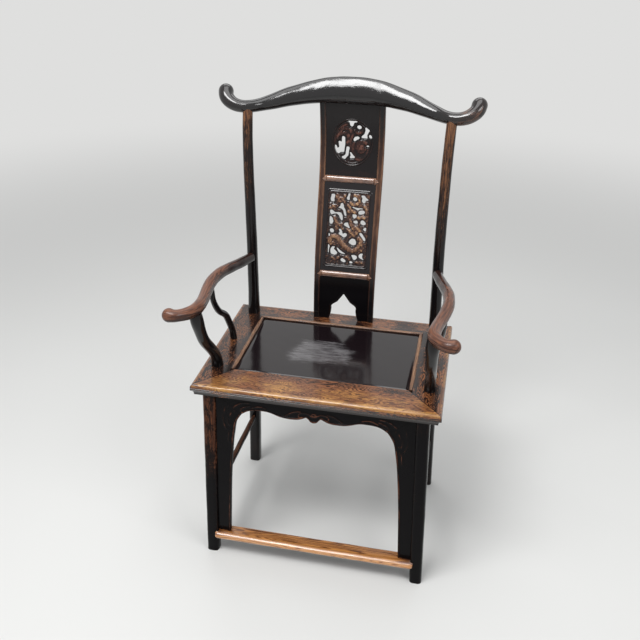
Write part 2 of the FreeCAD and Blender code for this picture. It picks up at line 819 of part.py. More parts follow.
def tongue_board(place, push):
    # a board beside a leg; place turns a distance from the leg's middle and a height into a point
    edge = leg_size / 2
    tip_z = upper_stretcher_height + upper_stretcher_size / 2
    out_share, down_share = tongue_bow_shares
    length = underside - tip_z
    bow = tongue_width - (tongue_width - tongue_neck) * out_share
    bow_share = tongue_shoulder_share + (tongue_neck_share - tongue_shoulder_share) * down_share
    shoulder = place(edge + tongue_width, underside - length * tongue_shoulder_share)
    neck = place(edge + tongue_neck, underside - length * tongue_neck_share)
    edges = [Part.Arc(shoulder, place(edge + bow, underside - length * bow_share), neck).toShape()]
    corners = [neck, place(edge + tongue_tip, tip_z), place(0, tip_z), place(0, underside),
               place(edge + tongue_width, underside), shoulder]
    for start, end in zip(corners[:-1], corners[1:]):
        edges.append(Part.makeLine(start, end))
    return outline_prism(edges, push)


def end_apron(place, push):
    # the shallow board between two tongues; place turns a share of its length and a height into a point
    low = [(share, underside - side_apron_depth * depth) for share, depth in apron_end_shares]
    start = [place(share, z) for share, z in low]
    end = [place(1 - share, z) for share, z in low[::-1]]
    edges = [curve_through(start).toShape(), curve_through(end).toShape()]
    corners = [start[0], place(0, underside), place(1, underside), end[-1]]
    edges.append(Part.makeLine(start[-1], end[0]))
    for a, b in zip(corners[:-1], corners[1:]):
        edges.append(Part.makeLine(a, b))
    return outline_prism(edges, push)


def side_board_x(z):
    return front_leg_centre(z).x + leg_size / 2 - board_set_back


def back_board_y(z):
    return post_centre(z).y + post_size_at_seat / 2 - board_set_back


def side_tongue(end, grow):
    # end is -1 beside the front leg and 1 beside the back leg
    leg_at = front_leg_centre if end < 0 else post_centre
    push = vec(-board_thickness - 2 * grow, 0, 0)
    return tongue_board(lambda out, z: vec(side_board_x(z) + grow, leg_at(z).y - end * out, z), push)


def back_tongue(grow):
    push = vec(0, -board_thickness - 2 * grow, 0)
    return tongue_board(lambda out, z: vec(post_centre(z).x - out, back_board_y(z) + grow, z), push)


def side_apron_place(share, z):
    start = front_leg_centre(z).y + leg_size / 2 + tongue_width
    end = post_centre(z).y - leg_size / 2 - tongue_width
    return vec(side_board_x(z), start + (end - start) * share, z)


def back_apron_place(share, z):
    half = post_centre(z).x - leg_size / 2 - tongue_width
    return vec(2 * half * share - half, back_board_y(z), z)


def side_riser(grow):
    start = side_apron_place(0, underside)
    end = side_apron_place(1, underside)
    return riser(start.x - board_thickness, start.x, start.y, end.y, grow)


def back_riser(grow):
    start = back_apron_place(0, underside)
    end = back_apron_place(1, underside)
    return riser(start.x, end.x, start.y - board_thickness, start.y, grow)


# Stretchers and footrest

def side_stretcher(height, size, grow, share=1):
    # a round stick between the middles of the front leg and the back leg
    return stick(front_leg_centre(height), post_centre(height), size * share / 2 + grow)


def back_stretcher(rise, thickness, corner, grow):
    end = post_centre(back_stretcher_height)
    start = vec(-end.x, end.y, end.z)
    sizes = (thickness / 2 + grow, rise / 2 + grow, corner + grow)
    return member([block_ring(point, across_x, across_y, *sizes) for point in (start, end)])


def footrest_board():
    # between the legs, with ends that lap over the legs' fronts
    leg = front_leg_centre(footrest_top)
    front = leg.y - leg_size / 2 - footrest_overlap
    low = footrest_top - footrest_thickness
    half = leg.x - leg_size / 2
    board = box(-half, half, front, front + footrest_depth, low, footrest_top)
    lap = box(-half - footrest_lap, half + footrest_lap, front, leg.y, low, footrest_top)
    board = joined(board, lap)
    edges = []
    for edge in board.Edges:
        middle = edge.CenterOfMass
        if abs(middle.y - front) < fit_gap and abs(middle.x) < fit_gap:
            edges.append(edge)
    return board.makeFillet(footrest_nose, edges)


def footrest_tenon(grow):
    leg = front_leg_centre(footrest_top)
    low = footrest_top - (footrest_thickness + footrest_tenon_thickness) / 2 - grow
    high = low + footrest_tenon_thickness + 2 * grow
    half = footrest_tenon_width / 2 + grow
    return box(-leg.x, leg.x, leg.y - half, leg.y + half, low, high)


os.makedirs("parts", exist_ok=True)
pieces = {}


def add(name, shape):
    pieces[name] = single(shape)


def add_pair(name, shape):
    right = single(shape)
    pieces[name + "_right"] = right
    pieces[name + "_left"] = mirrored(right)


def both(*shapes):
    # the shapes of the right side, and the same on the left
    return list(shapes) + [mirrored(shape) for shape in shapes]


leg_hole = front_leg_stock(fit_gap)
foot_hole = post_foot_stock(fit_gap)
upper_post_hole = post_upper_stock(fit_gap)
leg_core = front_leg_stock(fit_gap - board_groove)
post_core = post_foot_stock(fit_gap - board_groove)
crest_hole = crest_stock(fit_gap)
gooseneck_base, gooseneck_top = gooseneck_ends()
gooseneck, gooseneck_path = strut_stock(gooseneck_shares, gooseneck_base, gooseneck_top, gooseneck_thickness)
arm_post_base, arm_post_top = arm_post_ends()
arm_post, arm_post_path = strut_stock(arm_post_shares, arm_post_base, arm_post_top, arm_post_thickness)

# Seat
rail_cuts = both(corner_tenon(-1, fit_gap), corner_tenon(1, fit_gap), batten(fit_gap))
rail_cuts.append(panel_tongue_stock(fit_gap))
front_cuts = rail_cuts + both(leg_tenon(fit_gap)) + [front_riser(fit_gap)]
add("seat_rail_front", front_back_rail(-1, front_rail_width, inner_front).cut(front_cuts))
back_cuts = rail_cuts + both(upper_post_hole, stile_tenons(fit_gap)[0], bead_rebate_box())
back_cuts.append(back_riser(fit_gap))
add("seat_rail_back", front_back_rail(1, back_rail_width, inner_back).cut(back_cuts))
side_cuts = [upper_post_hole, leg_tenon(fit_gap), panel_tongue_stock(fit_gap), side_riser(fit_gap),
             bead_rebate_box(), rail_stub(gooseneck_base, gooseneck_stub, fit_gap),
             rail_stub(arm_post_base, arm_post_stub, fit_gap)]
add_pair("seat_rail", joined(side_rail().cut(side_cuts), corner_tenon(-1, 0), corner_tenon(1, 0)))
add("seat_panel", seat_panel())
add_pair("seat_bead", bead(inner_x, inner_x + bead_width, inner_front, inner_back))
add("seat_bead_back", bead(-inner_x - bead_width, inner_x + bead_width, inner_back, inner_back + bead_width))
add_pair("seat_batten", batten(0))

# Front legs, with the grooves of their boards
right_half = box(0, seat_width, -seat_depth, 0, 0, underside)
front_groove = front_arch(fit_gap).common(right_half).cut(front_leg_stock(-board_groove))
front_side_groove = side_tongue(-1, fit_gap).cut(front_leg_stock(-board_groove))
rows = ((upper_stretcher_height, upper_stretcher_size), (lower_stretcher_height, lower_stretcher_size))
stretcher_mortises = [side_stretcher(height, size, fit_gap, stretcher_tenon_share) for height, size in rows]
leg_cuts = stretcher_mortises + [front_groove, front_side_groove, footrest_tenon(fit_gap)]
add_pair("front_leg", joined(front_leg_stock(0), leg_tenon(0)).cut(leg_cuts))

# Back posts
solid_post_core = post_foot_stock(-board_groove)
back_side_groove = side_tongue(1, fit_gap).cut(solid_post_core)
back_groove = back_tongue(fit_gap).cut(solid_post_core)
back_tenon_sizes = (back_stretcher_tenon_rise, back_stretcher_tenon_thickness, back_stretcher_tenon_corner)
post_cuts = stretcher_mortises + [back_side_groove, back_groove, arm_tenon(fit_gap), crest_hole]
post_cuts.append(back_stretcher(*back_tenon_sizes, fit_gap))
post = single(joined(post_foot_stock(0), post_upper_stock(0)).cut(post_cuts))
add_pair("back_post", joined(post, post_tenon(0)))

# Crest rail
crest_cuts = both(post_tenon(fit_gap), stile_tenons(fit_gap)[1])
crest_cuts.append(splat_tongue_stock(splat_top - splat_tongue, splat_top + splat_tongue, fit_gap))
add("crest_rail", crest_stock(0).cut(crest_cuts))

# Splat
upper_rail_z = seat_height + splat_upper_rail_above
lower_rail_z = seat_height + splat_lower_rail_above
half_rail = splat_rail_height / 2
medallion_low = upper_rail_z + half_rail
openwork_low = lower_rail_z + half_rail
openwork_high = upper_rail_z - half_rail
foot_high = lower_rail_z - half_rail
medallion_tongue = (medallion_low - splat_tongue, splat_top + splat_tongue)
openwork_tongue = (openwork_low - splat_tongue, openwork_high + splat_tongue)
foot_tongue = (seat_height, foot_high + splat_tongue)
stile = splat_slab(splat_stile_width / 2, seat_height, splat_top + splat_tongue, 0, splat_thickness,
                   splat_width / 2 - splat_stile_width / 2)
stile = joined(single(stile.cut(crest_hole)), *stile_tenons(0))
stile_cuts = [splat_tongue_stock(seat_height - splat_tongue, splat_top + splat_tongue, fit_gap)]
stile_cuts = stile_cuts + [splat_rail_tenon(z, fit_gap) for z in (upper_rail_z, lower_rail_z)]
add_pair("splat_stile", stile.cut(stile_cuts))
add("splat_upper_rail", splat_rail(upper_rail_z).cut([splat_tongue_stock(*medallion_tongue, fit_gap),
                                                      splat_tongue_stock(*openwork_tongue, fit_gap)]))
add("splat_lower_rail", splat_rail(lower_rail_z).cut([splat_tongue_stock(*openwork_tongue, fit_gap),
                                                      splat_tongue_stock(*foot_tongue, fit_gap)]))

medallion_z = seat_height + medallion_above
medallion_middle = vec(0, splat_front_y(medallion_z), medallion_z)
medallion = splat_panel(medallion_low, splat_top + splat_tongue).cut(crest_hole)
medallion = joined(medallion, splat_tongue_stock(*medallion_tongue, 0))
outer = oval_prism(medallion_middle, medallion_half_width, medallion_half_height)
inner = oval_prism(medallion_middle, medallion_half_width - ridge_width, medallion_half_height - ridge_width)
field = (medallion_middle, medallion_half_width, medallion_half_height)
medallion = pierced(medallion, medallion_hole_shares, *field)
add("splat_medallion_panel", medallion.fuse(ridge(medallion_low, splat_top, outer, inner)))

openwork_z = seat_height + openwork_above
openwork = joined(splat_panel(openwork_low, openwork_high), splat_tongue_stock(*openwork_tongue, 0))
outer = rounded_prism(openwork_half_width, openwork_z, openwork_half_height, 2 * ridge_width)
inner = rounded_prism(openwork_half_width - ridge_width, openwork_z, openwork_half_height - ridge_width,
                      ridge_width)
field = (vec(0, splat_front_y(openwork_z), openwork_z), openwork_half_width, openwork_half_height)
openwork = pierced(openwork, openwork_hole_shares, *field)
add("splat_openwork_panel", openwork.fuse(ridge(openwork_low, openwork_high, outer, inner)))

ogee = []
for out, rise in ogee_shares:
    ogee.append(vec(ogee_half_width * out, splat_foot_y - overrun, seat_height + ogee_height * rise))
ogee_edges = [curve_through(ogee).toShape()]
ogee_edges.append(ogee_edges[0].mirror(vec(0, 0, 0), across_x))
ogee_edges.append(Part.makeLine(ogee[0], vec(-ogee[0].x, ogee[0].y, ogee[0].z)))
foot_panel = joined(splat_panel(seat_height, foot_high), splat_tongue_stock(*foot_tongue, 0))
add("splat_foot_panel", foot_panel.cut(outline_prism(ogee_edges, across_y * (2 * overrun))))

# Arms and their posts
arm = single(arm_stock(0).cut([upper_post_hole, strut_tenon(gooseneck_path, gooseneck_tenon_radius, fit_gap),
                               strut_tenon(arm_post_path, arm_post_tenon_radius, fit_gap)]))
add_pair("arm_rail", joined(arm, arm_tenon(0)))
arm_hole = arm_stock(fit_gap)
add_pair("gooseneck", joined(single(gooseneck.cut(arm_hole)), rail_stub(gooseneck_base, gooseneck_stub, 0),
                             strut_tenon(gooseneck_path, gooseneck_tenon_radius, 0)))
add_pair("arm_post", joined(single(arm_post.cut(arm_hole)), rail_stub(arm_post_base, arm_post_stub, 0),
                            strut_tenon(arm_post_path, arm_post_tenon_radius, 0)))

# Boards under the seat
add("front_apron", joined(front_arch(0).common(mitre_wedge()), front_riser(0)))
add_pair("front_spandrel", front_arch(0).common(right_half).cut([mitre_wedge(), leg_core]))
push = vec(-board_thickness, 0, 0)
add_pair("side_apron", joined(end_apron(side_apron_place, push), side_riser(0)))
add_pair("side_tongue_front", side_tongue(-1, 0).cut(leg_core))
add_pair("side_tongue_back", side_tongue(1, 0).cut(post_core))
push = vec(0, -board_thickness, 0)
add("back_apron", joined(end_apron(back_apron_place, push), back_riser(0)))
add_pair("back_tongue", back_tongue(0).cut(post_core))

# Footrest and stretchers
add("footrest", joined(single(footrest_board().cut(both(leg_hole))), footrest_tenon(0)))
for name, (height, size) in zip(("upper", "lower"), rows):
    body = single(side_stretcher(height, size, 0).cut([leg_hole, foot_hole]))
    add_pair("side_stretcher_" + name, joined(body, side_stretcher(height, size, 0, stretcher_tenon_share)))
body = back_stretcher(back_stretcher_rise, back_stretcher_thickness, back_stretcher_corner, 0)
body = single(body.cut(both(foot_hole)))
add("back_stretcher", joined(body, back_stretcher(*back_tenon_sizes, 0)))

# The origin goes under the middle of the whole chair
outline = Part.makeCompound([pieces["crest_rail"], pieces["splat_stile_right"], pieces["arm_rail_right"]])
outline = outline.optimalBoundingBox()
centring = vec(0, -(outline.YMin + outline.YMax) / 2, 0)
for name, shape in pieces.items():
    placed = shape.translated(centring)
    placed.exportStep("parts/" + name + ".step")
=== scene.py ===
import math

import bmesh
import bpy
import numpy as np
from mathutils import Matrix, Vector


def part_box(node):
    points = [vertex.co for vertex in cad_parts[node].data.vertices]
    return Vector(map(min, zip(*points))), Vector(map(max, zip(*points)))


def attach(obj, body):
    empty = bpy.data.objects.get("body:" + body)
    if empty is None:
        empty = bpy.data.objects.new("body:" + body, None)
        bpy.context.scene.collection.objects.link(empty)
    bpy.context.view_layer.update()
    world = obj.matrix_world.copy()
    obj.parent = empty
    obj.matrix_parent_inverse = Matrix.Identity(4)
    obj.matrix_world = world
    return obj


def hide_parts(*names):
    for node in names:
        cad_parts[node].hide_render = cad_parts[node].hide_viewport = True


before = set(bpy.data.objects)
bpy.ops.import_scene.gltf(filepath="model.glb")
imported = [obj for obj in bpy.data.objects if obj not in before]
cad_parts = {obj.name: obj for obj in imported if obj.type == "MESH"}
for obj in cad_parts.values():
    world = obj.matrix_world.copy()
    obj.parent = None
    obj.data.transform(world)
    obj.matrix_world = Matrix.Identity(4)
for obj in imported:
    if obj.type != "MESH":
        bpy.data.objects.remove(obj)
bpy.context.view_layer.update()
scene = bpy.context.scene
mm = 0.001
railLow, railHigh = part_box("seat_rail_left")
seatMiddleY = (railLow.y + railHigh.y) / 2 / mm   # every place below is in mm from the middle of the seat
seatTop = 520                                     # and its height is for a seat top at this one
floorZ = seatTop - railHigh.z / mm                # which puts the floor here
railLowZ = 491                                    # the underside of the seat frame
sides = ((1, "Right"), (-1, "Left"))
print("frame loaded:", len(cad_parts), "nodes")


# Shapes

def unit(v):
    # each vector divided by its length
    return v / np.maximum(np.linalg.norm(v, axis=-1, keepdims=True), 1e-9)


def smoothStep(low, high, x):
    # 3t² - 2t³, with t the share of the way from low to high
    t = np.clip((np.asarray(x, float) - low) / (high - low), 0, 1)
    return t * t * (3 - 2 * t)


def halfRound(gap, width):
    # sqrt(1 - (gap / width)²): 1 on a line and 0 from this width on
    return np.sqrt(np.clip(1 - (gap / width) ** 2, 0, 1))


def ripple(points, size, seed=1):
    # soft waves of about this size in mm: 1.6 times the mean of six sines along random directions
    draw = np.random.default_rng(seed)
    way = unit(draw.normal(size=(6, 3)))
    phase = draw.uniform(0, 2 * np.pi, 6)
    return np.sin(points @ way.T * (2 * np.pi / size) + phase).mean(-1) * 1.6


def smoothRows(table, at):
    # natural cubic through rows whose first column is t: each pair's blend plus its second derivatives' share
    table = np.asarray(table, float)
    t, y = table[:, 0], table[:, 1:]
    step = np.diff(t)
    k = np.arange(1, len(t) - 1)
    system = np.eye(len(t))
    system[k, k - 1], system[k, k], system[k, k + 1] = step[:-1], 2 * (step[:-1] + step[1:]), step[1:]
    slope = np.diff(y, axis=0) / step[:, None]
    right = np.zeros_like(y)
    right[1:-1] = 6 * np.diff(slope, axis=0)
    bend = np.linalg.solve(system, right)
    j = np.clip(np.searchsorted(t, at) - 1, 0, len(t) - 2)
    h = step[j][:, None]
    a = (t[j + 1] - at)[:, None] / h
    b = 1 - a
    return a * y[j] + b * y[j + 1] + ((a ** 3 - a) * bend[j] + (b ** 3 - b) * bend[j + 1]) * h ** 2 / 6


def smoothLine(rows, count):
    # the rows (x, y, z and sizes) at even steps of the length of the line through them
    rows = np.asarray(rows, float)
    run = np.r_[0, np.cumsum(np.linalg.norm(np.diff(rows[:, :3], axis=0), axis=1))]
    at = np.linspace(0, run[-1], count)
    return smoothRows(np.c_[run, rows], at), at


def flatLine(rows, count):
    # the same for a line of points in a plane
    rows = np.asarray(rows, float)
    return smoothLine(np.c_[rows, np.zeros(len(rows))], count)[0][:, :2]


def gridFaces(rows, columns, loop=False):
    # one quad between two neighbouring rows and columns; with loop the last column meets the first
    i = np.arange(rows - 1)[:, None] * columns
    j = np.arange(columns if loop else columns - 1)[None, :]
    k = (j + 1) % columns
    return np.stack([i + j, i + k, i + columns + k, i + columns + j], -1).reshape(-1, 4)


def makePiece(name, points, faces, grain, wear, finish, nodes, sharp=40, extra=None):
    # a mesh from points in mm, with its grain place in metres and its wear from 0 to 1 kept on its points
    mesh = bpy.data.meshes.new(name)
    mesh.from_pydata(((points + [0, seatMiddleY, -floorZ]) * mm).tolist(), [], faces)
    values = {"grain": ("FLOAT_VECTOR", "vector", grain * mm), "wear": ("FLOAT", "value", wear)}
    for key, value in (extra or {}).items():
        values[key] = ("FLOAT", "value", value)
    for key, (kind, field, value) in values.items():
        data = mesh.attributes.new(key, kind, "POINT").data
        data.foreach_set(field, np.ascontiguousarray(value, np.float32).ravel())
    work = bmesh.new()
    work.from_mesh(mesh)
    bmesh.ops.recalc_face_normals(work, faces=work.faces)
    work.to_mesh(mesh)
    work.free()
    mesh.shade_smooth()
    mesh.set_sharp_from_angle(angle=math.radians(sharp))
    mesh.materials.append(finish)
    piece = bpy.data.objects.new(name, mesh)
    scene.collection.objects.link(piece)
    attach(piece, "root")
    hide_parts(*nodes)


def mirrorPoints(points):
    # x becomes -x
    return points * [-1, 1, 1]


def closedRings(points):
    # faces of a tube of rings with a fan over each end; the fans' middles, the end rings' means, come last
    count, around = points.shape[:2]
    flat = points.reshape(-1, 3)
    ends = np.array([points[0].mean(0), points[-1].mean(0)])
    j = np.arange(around)
    k = (j + 1) % around
    last = (count - 1) * around
    first = np.stack([k, j, np.full(around, len(flat))], -1)
    final = np.stack([last + j, last + k, np.full(around, len(flat) + 1)], -1)
    faces = gridFaces(count, around, True).tolist() + first.tolist() + final.tolist()
    return np.vstack([flat, ends]), faces


knobAngles = np.radians([12, 24, 35, 46, 56, 65, 73, 80, 85.5, 89])
leftGrainShift = 400   # the left one of a pair shows another stretch of the grain


def limb(name, look, finish, nodes, side=1):
    # a turned or carved member: each ring is centre + side way * a * c + other way * b * s, where c and s are
    # the cosine and sine of the angle raised to 2 / power, and egg leans the upper front back above a belly;
    # a knob adds rings that go on by the sines of its angles and shrink by their cosines
    rows, run = smoothLine(look["rows"], look["count"])
    centre, sizes = rows[:, :3], rows[:, 3:]
    along = unit(np.gradient(centre, run, axis=0))
    if look.get("plumb"):   # a foot cut level with the floor
        along[0] = (0, 0, 1)
    for end, sign, key in ((0, -1, "knobStart"), (-1, 1, "knobEnd")):
        if look.get(key):
            reach = np.sin(knobAngles) * sizes[end, :2].mean()
            small = np.repeat(sizes[end][None], len(reach), 0)
            small[:, :2] *= np.cos(knobAngles)[:, None]
            added = (centre[end] + along[end] * (sign * reach)[:, None], small,
                     np.repeat(along[end][None], len(reach), 0), run[end] + sign * reach)
            joined = zip((centre, sizes, along, run), added)
            if sign < 0:
                joined = [(new[::-1], old) for old, new in joined]
            centre, sizes, along, run = (np.concatenate(both) for both in joined)
    across = np.asarray(look["across"], float)
    sideWay = unit(across - along * (along @ across)[:, None])
    otherWay = np.cross(along, sideWay)
    angle = np.arange(look["around"]) / look["around"] * 2 * np.pi
    power = 2 / sizes[:, 2][:, None]
    c = np.sign(np.cos(angle)) * np.abs(np.cos(angle)) ** power
    s = np.sign(np.sin(angle)) * np.abs(np.sin(angle)) ** power
    egg = sizes[:, 3][:, None] if sizes.shape[1] > 3 else 0
    lean = np.where(c < 0, 1 - egg * s * (0.4 + 0.6 * (s > 0)), 1 - 0.15 * egg * s)
    offSide = sizes[:, 0][:, None] * c * lean
    offOther = sizes[:, 1][:, None] * s
    points = centre[:, None] + sideWay[:, None] * offSide[..., None] + otherWay[:, None] * offOther[..., None]
    out = unit(points - centre[:, None])
    share = np.clip(run / run[-1], 0, 1)
    table = np.asarray(look["wear"], float)
    wear = np.interp(share, table[:, 0], table[:, 1])[:, None] + 0 * offSide
    for key, axis, sign in (("wearUp", 2, 1), ("wearFront", 1, -1), ("wearDown", 2, -1)):
        wear = wear + look.get(key, 0) * np.clip(out[..., axis] * sign, 0, 1) ** 2
    wear = wear + look.get("wearEdge", 0) * smoothStep(0.35, 0.72, np.abs(c * s))   # a squarish one's corners
    points = points + out * (ripple(points, 46, 3) * look["handmade"])[..., None]
    grain = np.stack([run[:, None] + 0 * offSide, offSide, offOther], -1)
    points, faces = closedRings(points)
    grain = np.vstack([grain.reshape(-1, 3), [[run[0], 0, 0], [run[-1], 0, 0]]])
    wear = np.r_[wear.ravel(), wear[0].mean(), wear[-1].mean()]
    if side < 0:
        points = mirrorPoints(points)
        grain = grain + [leftGrainShift, 0, 0]
    makePiece(name, points, faces, grain, wear, finish, nodes, look.get("sharp", 60))


def limbPair(name, look, finish, node, leftLook=None):
    # a member on the right and its mirror image on the left, where leftLook differs
    for side, word in sides:
        sideLook = look | (leftLook or {}) if side < 0 else look
        limb(name + word, sideLook, finish, [node + word.lower()], side)


def shell(name, front, back, grainAxes, wear, finish, nodes, sharp=40, extra=None):
    # a board from two grids of the same size, its seen face and its back, closed by a wall round their edges
    rows, columns = front.shape[:2]
    size = rows * columns
    index = np.arange(size).reshape(rows, columns)
    rim = np.r_[index[0], index[1:, -1], index[-1, -2::-1], index[-2:0:-1, 0]]
    after = np.roll(rim, -1)
    wall = np.stack([rim, rim + size, after + size, after], -1)
    face = gridFaces(rows, columns)
    faces = face[:, ::-1].tolist() + (face + size).tolist() + wall.tolist()
    points = np.vstack([front.reshape(-1, 3), back.reshape(-1, 3)])
    grain = points @ np.asarray(grainAxes, float).T
    wear = np.r_[wear.ravel(), np.full(size, 0.15)]
    extra = {key: np.r_[value.ravel(), np.zeros(size)] for key, value in (extra or {}).items()}
    makePiece(name, points, faces, grain, wear, finish, nodes, sharp, extra)


alongX = [(1, 0, 0), (0, 1, 0), (0, 0, 1)]   # which way the wood grain runs in a board
alongY = [(0, 1, 0), (1, 0, 0), (0, 0, 1)]
alongZ = [(0, 0, 1), (1, 0, 0), (0, 1, 0)]


# Finishes

def hexColour(text):
    # sRGB hex to linear red, green, blue, alpha
    parts = [int(text[i:i + 2], 16) / 255 for i in (0, 2, 4)]
    return [p / 12.92 if p <= 0.04045 else ((p + 0.055) / 1.055) ** 2.4 for p in parts] + [1.0]


def addNode(tree, kind, values=None, links=None, **settings):
    # one node with its settings, its own input values and the sockets that feed it
    node = tree.nodes.new(kind)
    for key, value in settings.items():
        setattr(node, key, value)
    for key, value in (values or {}).items():
        node.inputs[key].default_value = value
    for key, socket in (links or {}).items():
        tree.links.new(socket, node.inputs[key])
    return node


def woodFinish(name, sources, patterns, shares, colours, bump, shader):
    # a material from tables whose rows may name any row above them: patterns are noise, with their cells' mm
    # along, across and through the grain, detail, roughness and warp; one with a number of lines becomes the
    # sine of that number times the noise shares are a start plus weight * (row - 0.5) for each weighed row,
    # and a smooth step of that if they have a span colours mix two colours by a share, and each of the two is
    # a hex text or a row
    finish = bpy.data.materials.new(name)
    finish.use_nodes = True
    tree = finish.node_tree
    tree.nodes.clear()
    made = {}
    for key, (kind, output, settings) in sources.items():
        made[key] = addNode(tree, kind, **settings).outputs[output]
    for key, sizes, detail, rough, warp, lines in patterns:
        scale = [1 / (size * mm) for size in sizes]
        place = addNode(tree, "ShaderNodeMapping", {"Scale": scale}, {"Vector": made["place"]}).outputs[0]
        values = {"Scale": 1.0, "Detail": detail, "Roughness": rough, "Distortion": warp}
        made[key] = addNode(tree, "ShaderNodeTexNoise", values, {"Vector": place}).outputs[0]
        if lines:
            turns = addNode(tree, "ShaderNodeMath", {1: lines}, {0: made[key]}, operation="MULTIPLY")
            made[key] = addNode(tree, "ShaderNodeMath", links={0: turns.outputs[0]},
                                operation="SINE").outputs[0]
    for key, start, weights, span in shares:
        total = made.get(start)
        for source, weight in weights.items():
            values = {1: weight, 2: 0.0}
            links = {0: made[source]} if total is None else {0: made[source], 2: total}
            total = addNode(tree, "ShaderNodeMath", values, links, operation="MULTIPLY_ADD").outputs[0]
        if weights:
            values = {1: -0.5 * sum(weights.values())}
            total = addNode(tree, "ShaderNodeMath", values, {0: total}, operation="ADD").outputs[0]
        if span:
            values = dict(zip(("From Min", "From Max", "To Min", "To Max"), span))
            total = addNode(tree, "ShaderNodeMapRange", values, {"Value": total},
                            interpolation_type="SMOOTHSTEP").outputs[0]
        made[key] = total
    for key, share, first, last in colours:
        pair = {6: first, 7: last}
        values = {slot: hexColour(colour) for slot, colour in pair.items() if colour not in made}
        links = {slot: made[colour] for slot, colour in pair.items() if colour in made}
        mixed = addNode(tree, "ShaderNodeMix", values, links | {0: made[share]}, data_type="RGBA")
        made[key] = mixed.outputs[2]
    values = dict(zip(("Strength", "Distance"), bump))
    raised = addNode(tree, "ShaderNodeBump", values, {"Height": made["height"]})
    links = {"Base Color": made["colour"], "Normal": raised.outputs[0]}
    if "roughness" in made:
        links["Roughness"] = made["roughness"]
    surface = addNode(tree, "ShaderNodeBsdfPrincipled", shader, links).outputs[0]
    addNode(tree, "ShaderNodeOutputMaterial", links={"Surface": surface})
    return finish


grainPlace = {"place": ("ShaderNodeAttribute", "Vector", {"attribute_name": "grain"}),
              "wear": ("ShaderNodeAttribute", "Fac", {"attribute_name": "wear"})}


def agedLacquer(name, look):
    # black lacquer brushed and rubbed over elm: nearly mirror smooth where it is whole, brown and silky where
    # hands have thinned it, and open grain with flecks of pale wood where it is gone; pores are 0.7 mm wide,
    # several times a real elm's, so that they show
    streak, fleck, ring, edge = look["streak"], look["fleck"], look["ring"], look["edge"]
    patterns = [
        ("streak", (55, streak, streak), 4.0, 0.6, 0.4, 0), ("cloud", (46, 26, 26), 3.0, 0.6, 0.0, 0),
        ("fleck", (3.7 * fleck, fleck, fleck), 3.0, 0.7, 0.0, 0), ("pore", (16, 0.7, 0.7), 2.0, 0.5, 0.0, 0),
        ("rings", (look["length"], ring, ring), 2.0, 0.45, 0.3, look["lines"])]
    shares = [
        ("figure", "rings", {}, (-1.0, look["fineness"])),
        ("level", "wear", {"cloud": look["patchy"], "streak": look["streaky"], "fleck": look["flecky"],
                           "figure": look["figured"]}, None),
        ("isThin", "level", {}, (0.22, 0.62)), ("isWorn", "level", {}, (0.50, 0.50 + edge)),
        ("isBare", "level", {}, (0.86, 0.86 + edge)),
        ("tone", "streak", {"figure": 1.5 * look["figured"]}, (0.32, 0.70)),
        ("openPore", "pore", {}, (0.3, 0.7)),
        ("roughness", "isWorn", {"cloud": look["cloudy"], "streak": look["cloudy"] / 2, "pore": 0.3},
         (0.0, 1.0, look["gloss"], look["dull"])),
        ("height", None,
         {"streak": 0.5, "pore": 0.25, "isWorn": -0.6, "isBare": -0.5, "cloud": look["wavy"]}, None)]
    colours = [
        ("lacquer", "isThin", look["lacquer"], look["thin"]),
        ("wood", "tone", look["wornDark"], look["worn"]), ("pale", "openPore", look["worn"], look["bare"]),
        ("rubbed", "isWorn", "lacquer", "wood"), ("colour", "isBare", "rubbed", "pale")]
    shader = {"IOR": 1.5, "Coat Weight": look["coat"], "Coat Roughness": look["silk"],
              "Specular IOR Level": look["shine"]}
    return woodFinish(name, grainPlace, patterns, shares, colours, (look["bump"], 0.0006), shader)


# colours go from whole lacquer to bare wood, and streak, fleck, ring and length are mm; patchy, streaky,
# flecky and figured say how much their patterns move the wear, and wavy and cloudy the height and the
# roughness
lacquerBase = {
    "lacquer": "0b090b", "thin": "20130f", "wornDark": "35201a", "worn": "5f3f2e", "bare": "9a6c42",
    "streak": 2.2, "fleck": 1.9, "ring": 18.2, "length": 150, "lines": 70.0, "fineness": 0.6,
    "patchy": 0.55, "streaky": 0.35, "flecky": 0.25, "figured": 0.05, "edge": 0.14,
    "gloss": 0.14, "dull": 0.36, "bump": 0.25, "coat": 0.0, "silk": 0.12, "shine": 0.09,
    "wavy": 1.5, "cloudy": 0.9,
}
# whole lacquer of the legs' insides and stretchers: a deep black with hardly a brown edge
blackLacquer = agedLacquer("blackLacquerOnElm", lacquerBase)
# lacquer polished by hands: a long soft highlight broken by slow waves in the wood
crestLacquer = agedLacquer("crestLacquerOnElm", lacquerBase | {
    "thin": "1c1211", "gloss": 0.10, "dull": 0.44, "shine": 0.5, "coat": 0.35, "wavy": 5.0, "cloudy": 2.4})
# lacquer knocked off in patches: reddish brown with golden flecks
legLacquer = agedLacquer("legLacquerOnElm", lacquerBase | {
    "worn": "663c25", "bare": "a06c33", "patchy": 0.8, "flecky": 0.75})
# lacquer nearly rubbed through by arms: warm brown, smooth, with faint long figure
armLacquer = agedLacquer("rubbedArmLacquer", lacquerBase | {
    "lacquer": "1b1211", "thin": "38231d", "wornDark": "4a2f26", "worn": "764c38", "bare": "95684e",
    "gloss": 0.18, "dull": 0.32, "patchy": 0.5, "edge": 0.25, "shine": 0.32, "figured": 0.1})
# lacquer of the posts: black below, rubbed to tan streaks above the arms
postLacquer = agedLacquer("postLacquerOnElm", lacquerBase | {
    "worn": "7c5437", "bare": "a5713f", "edge": 0.22, "shine": 0.3})
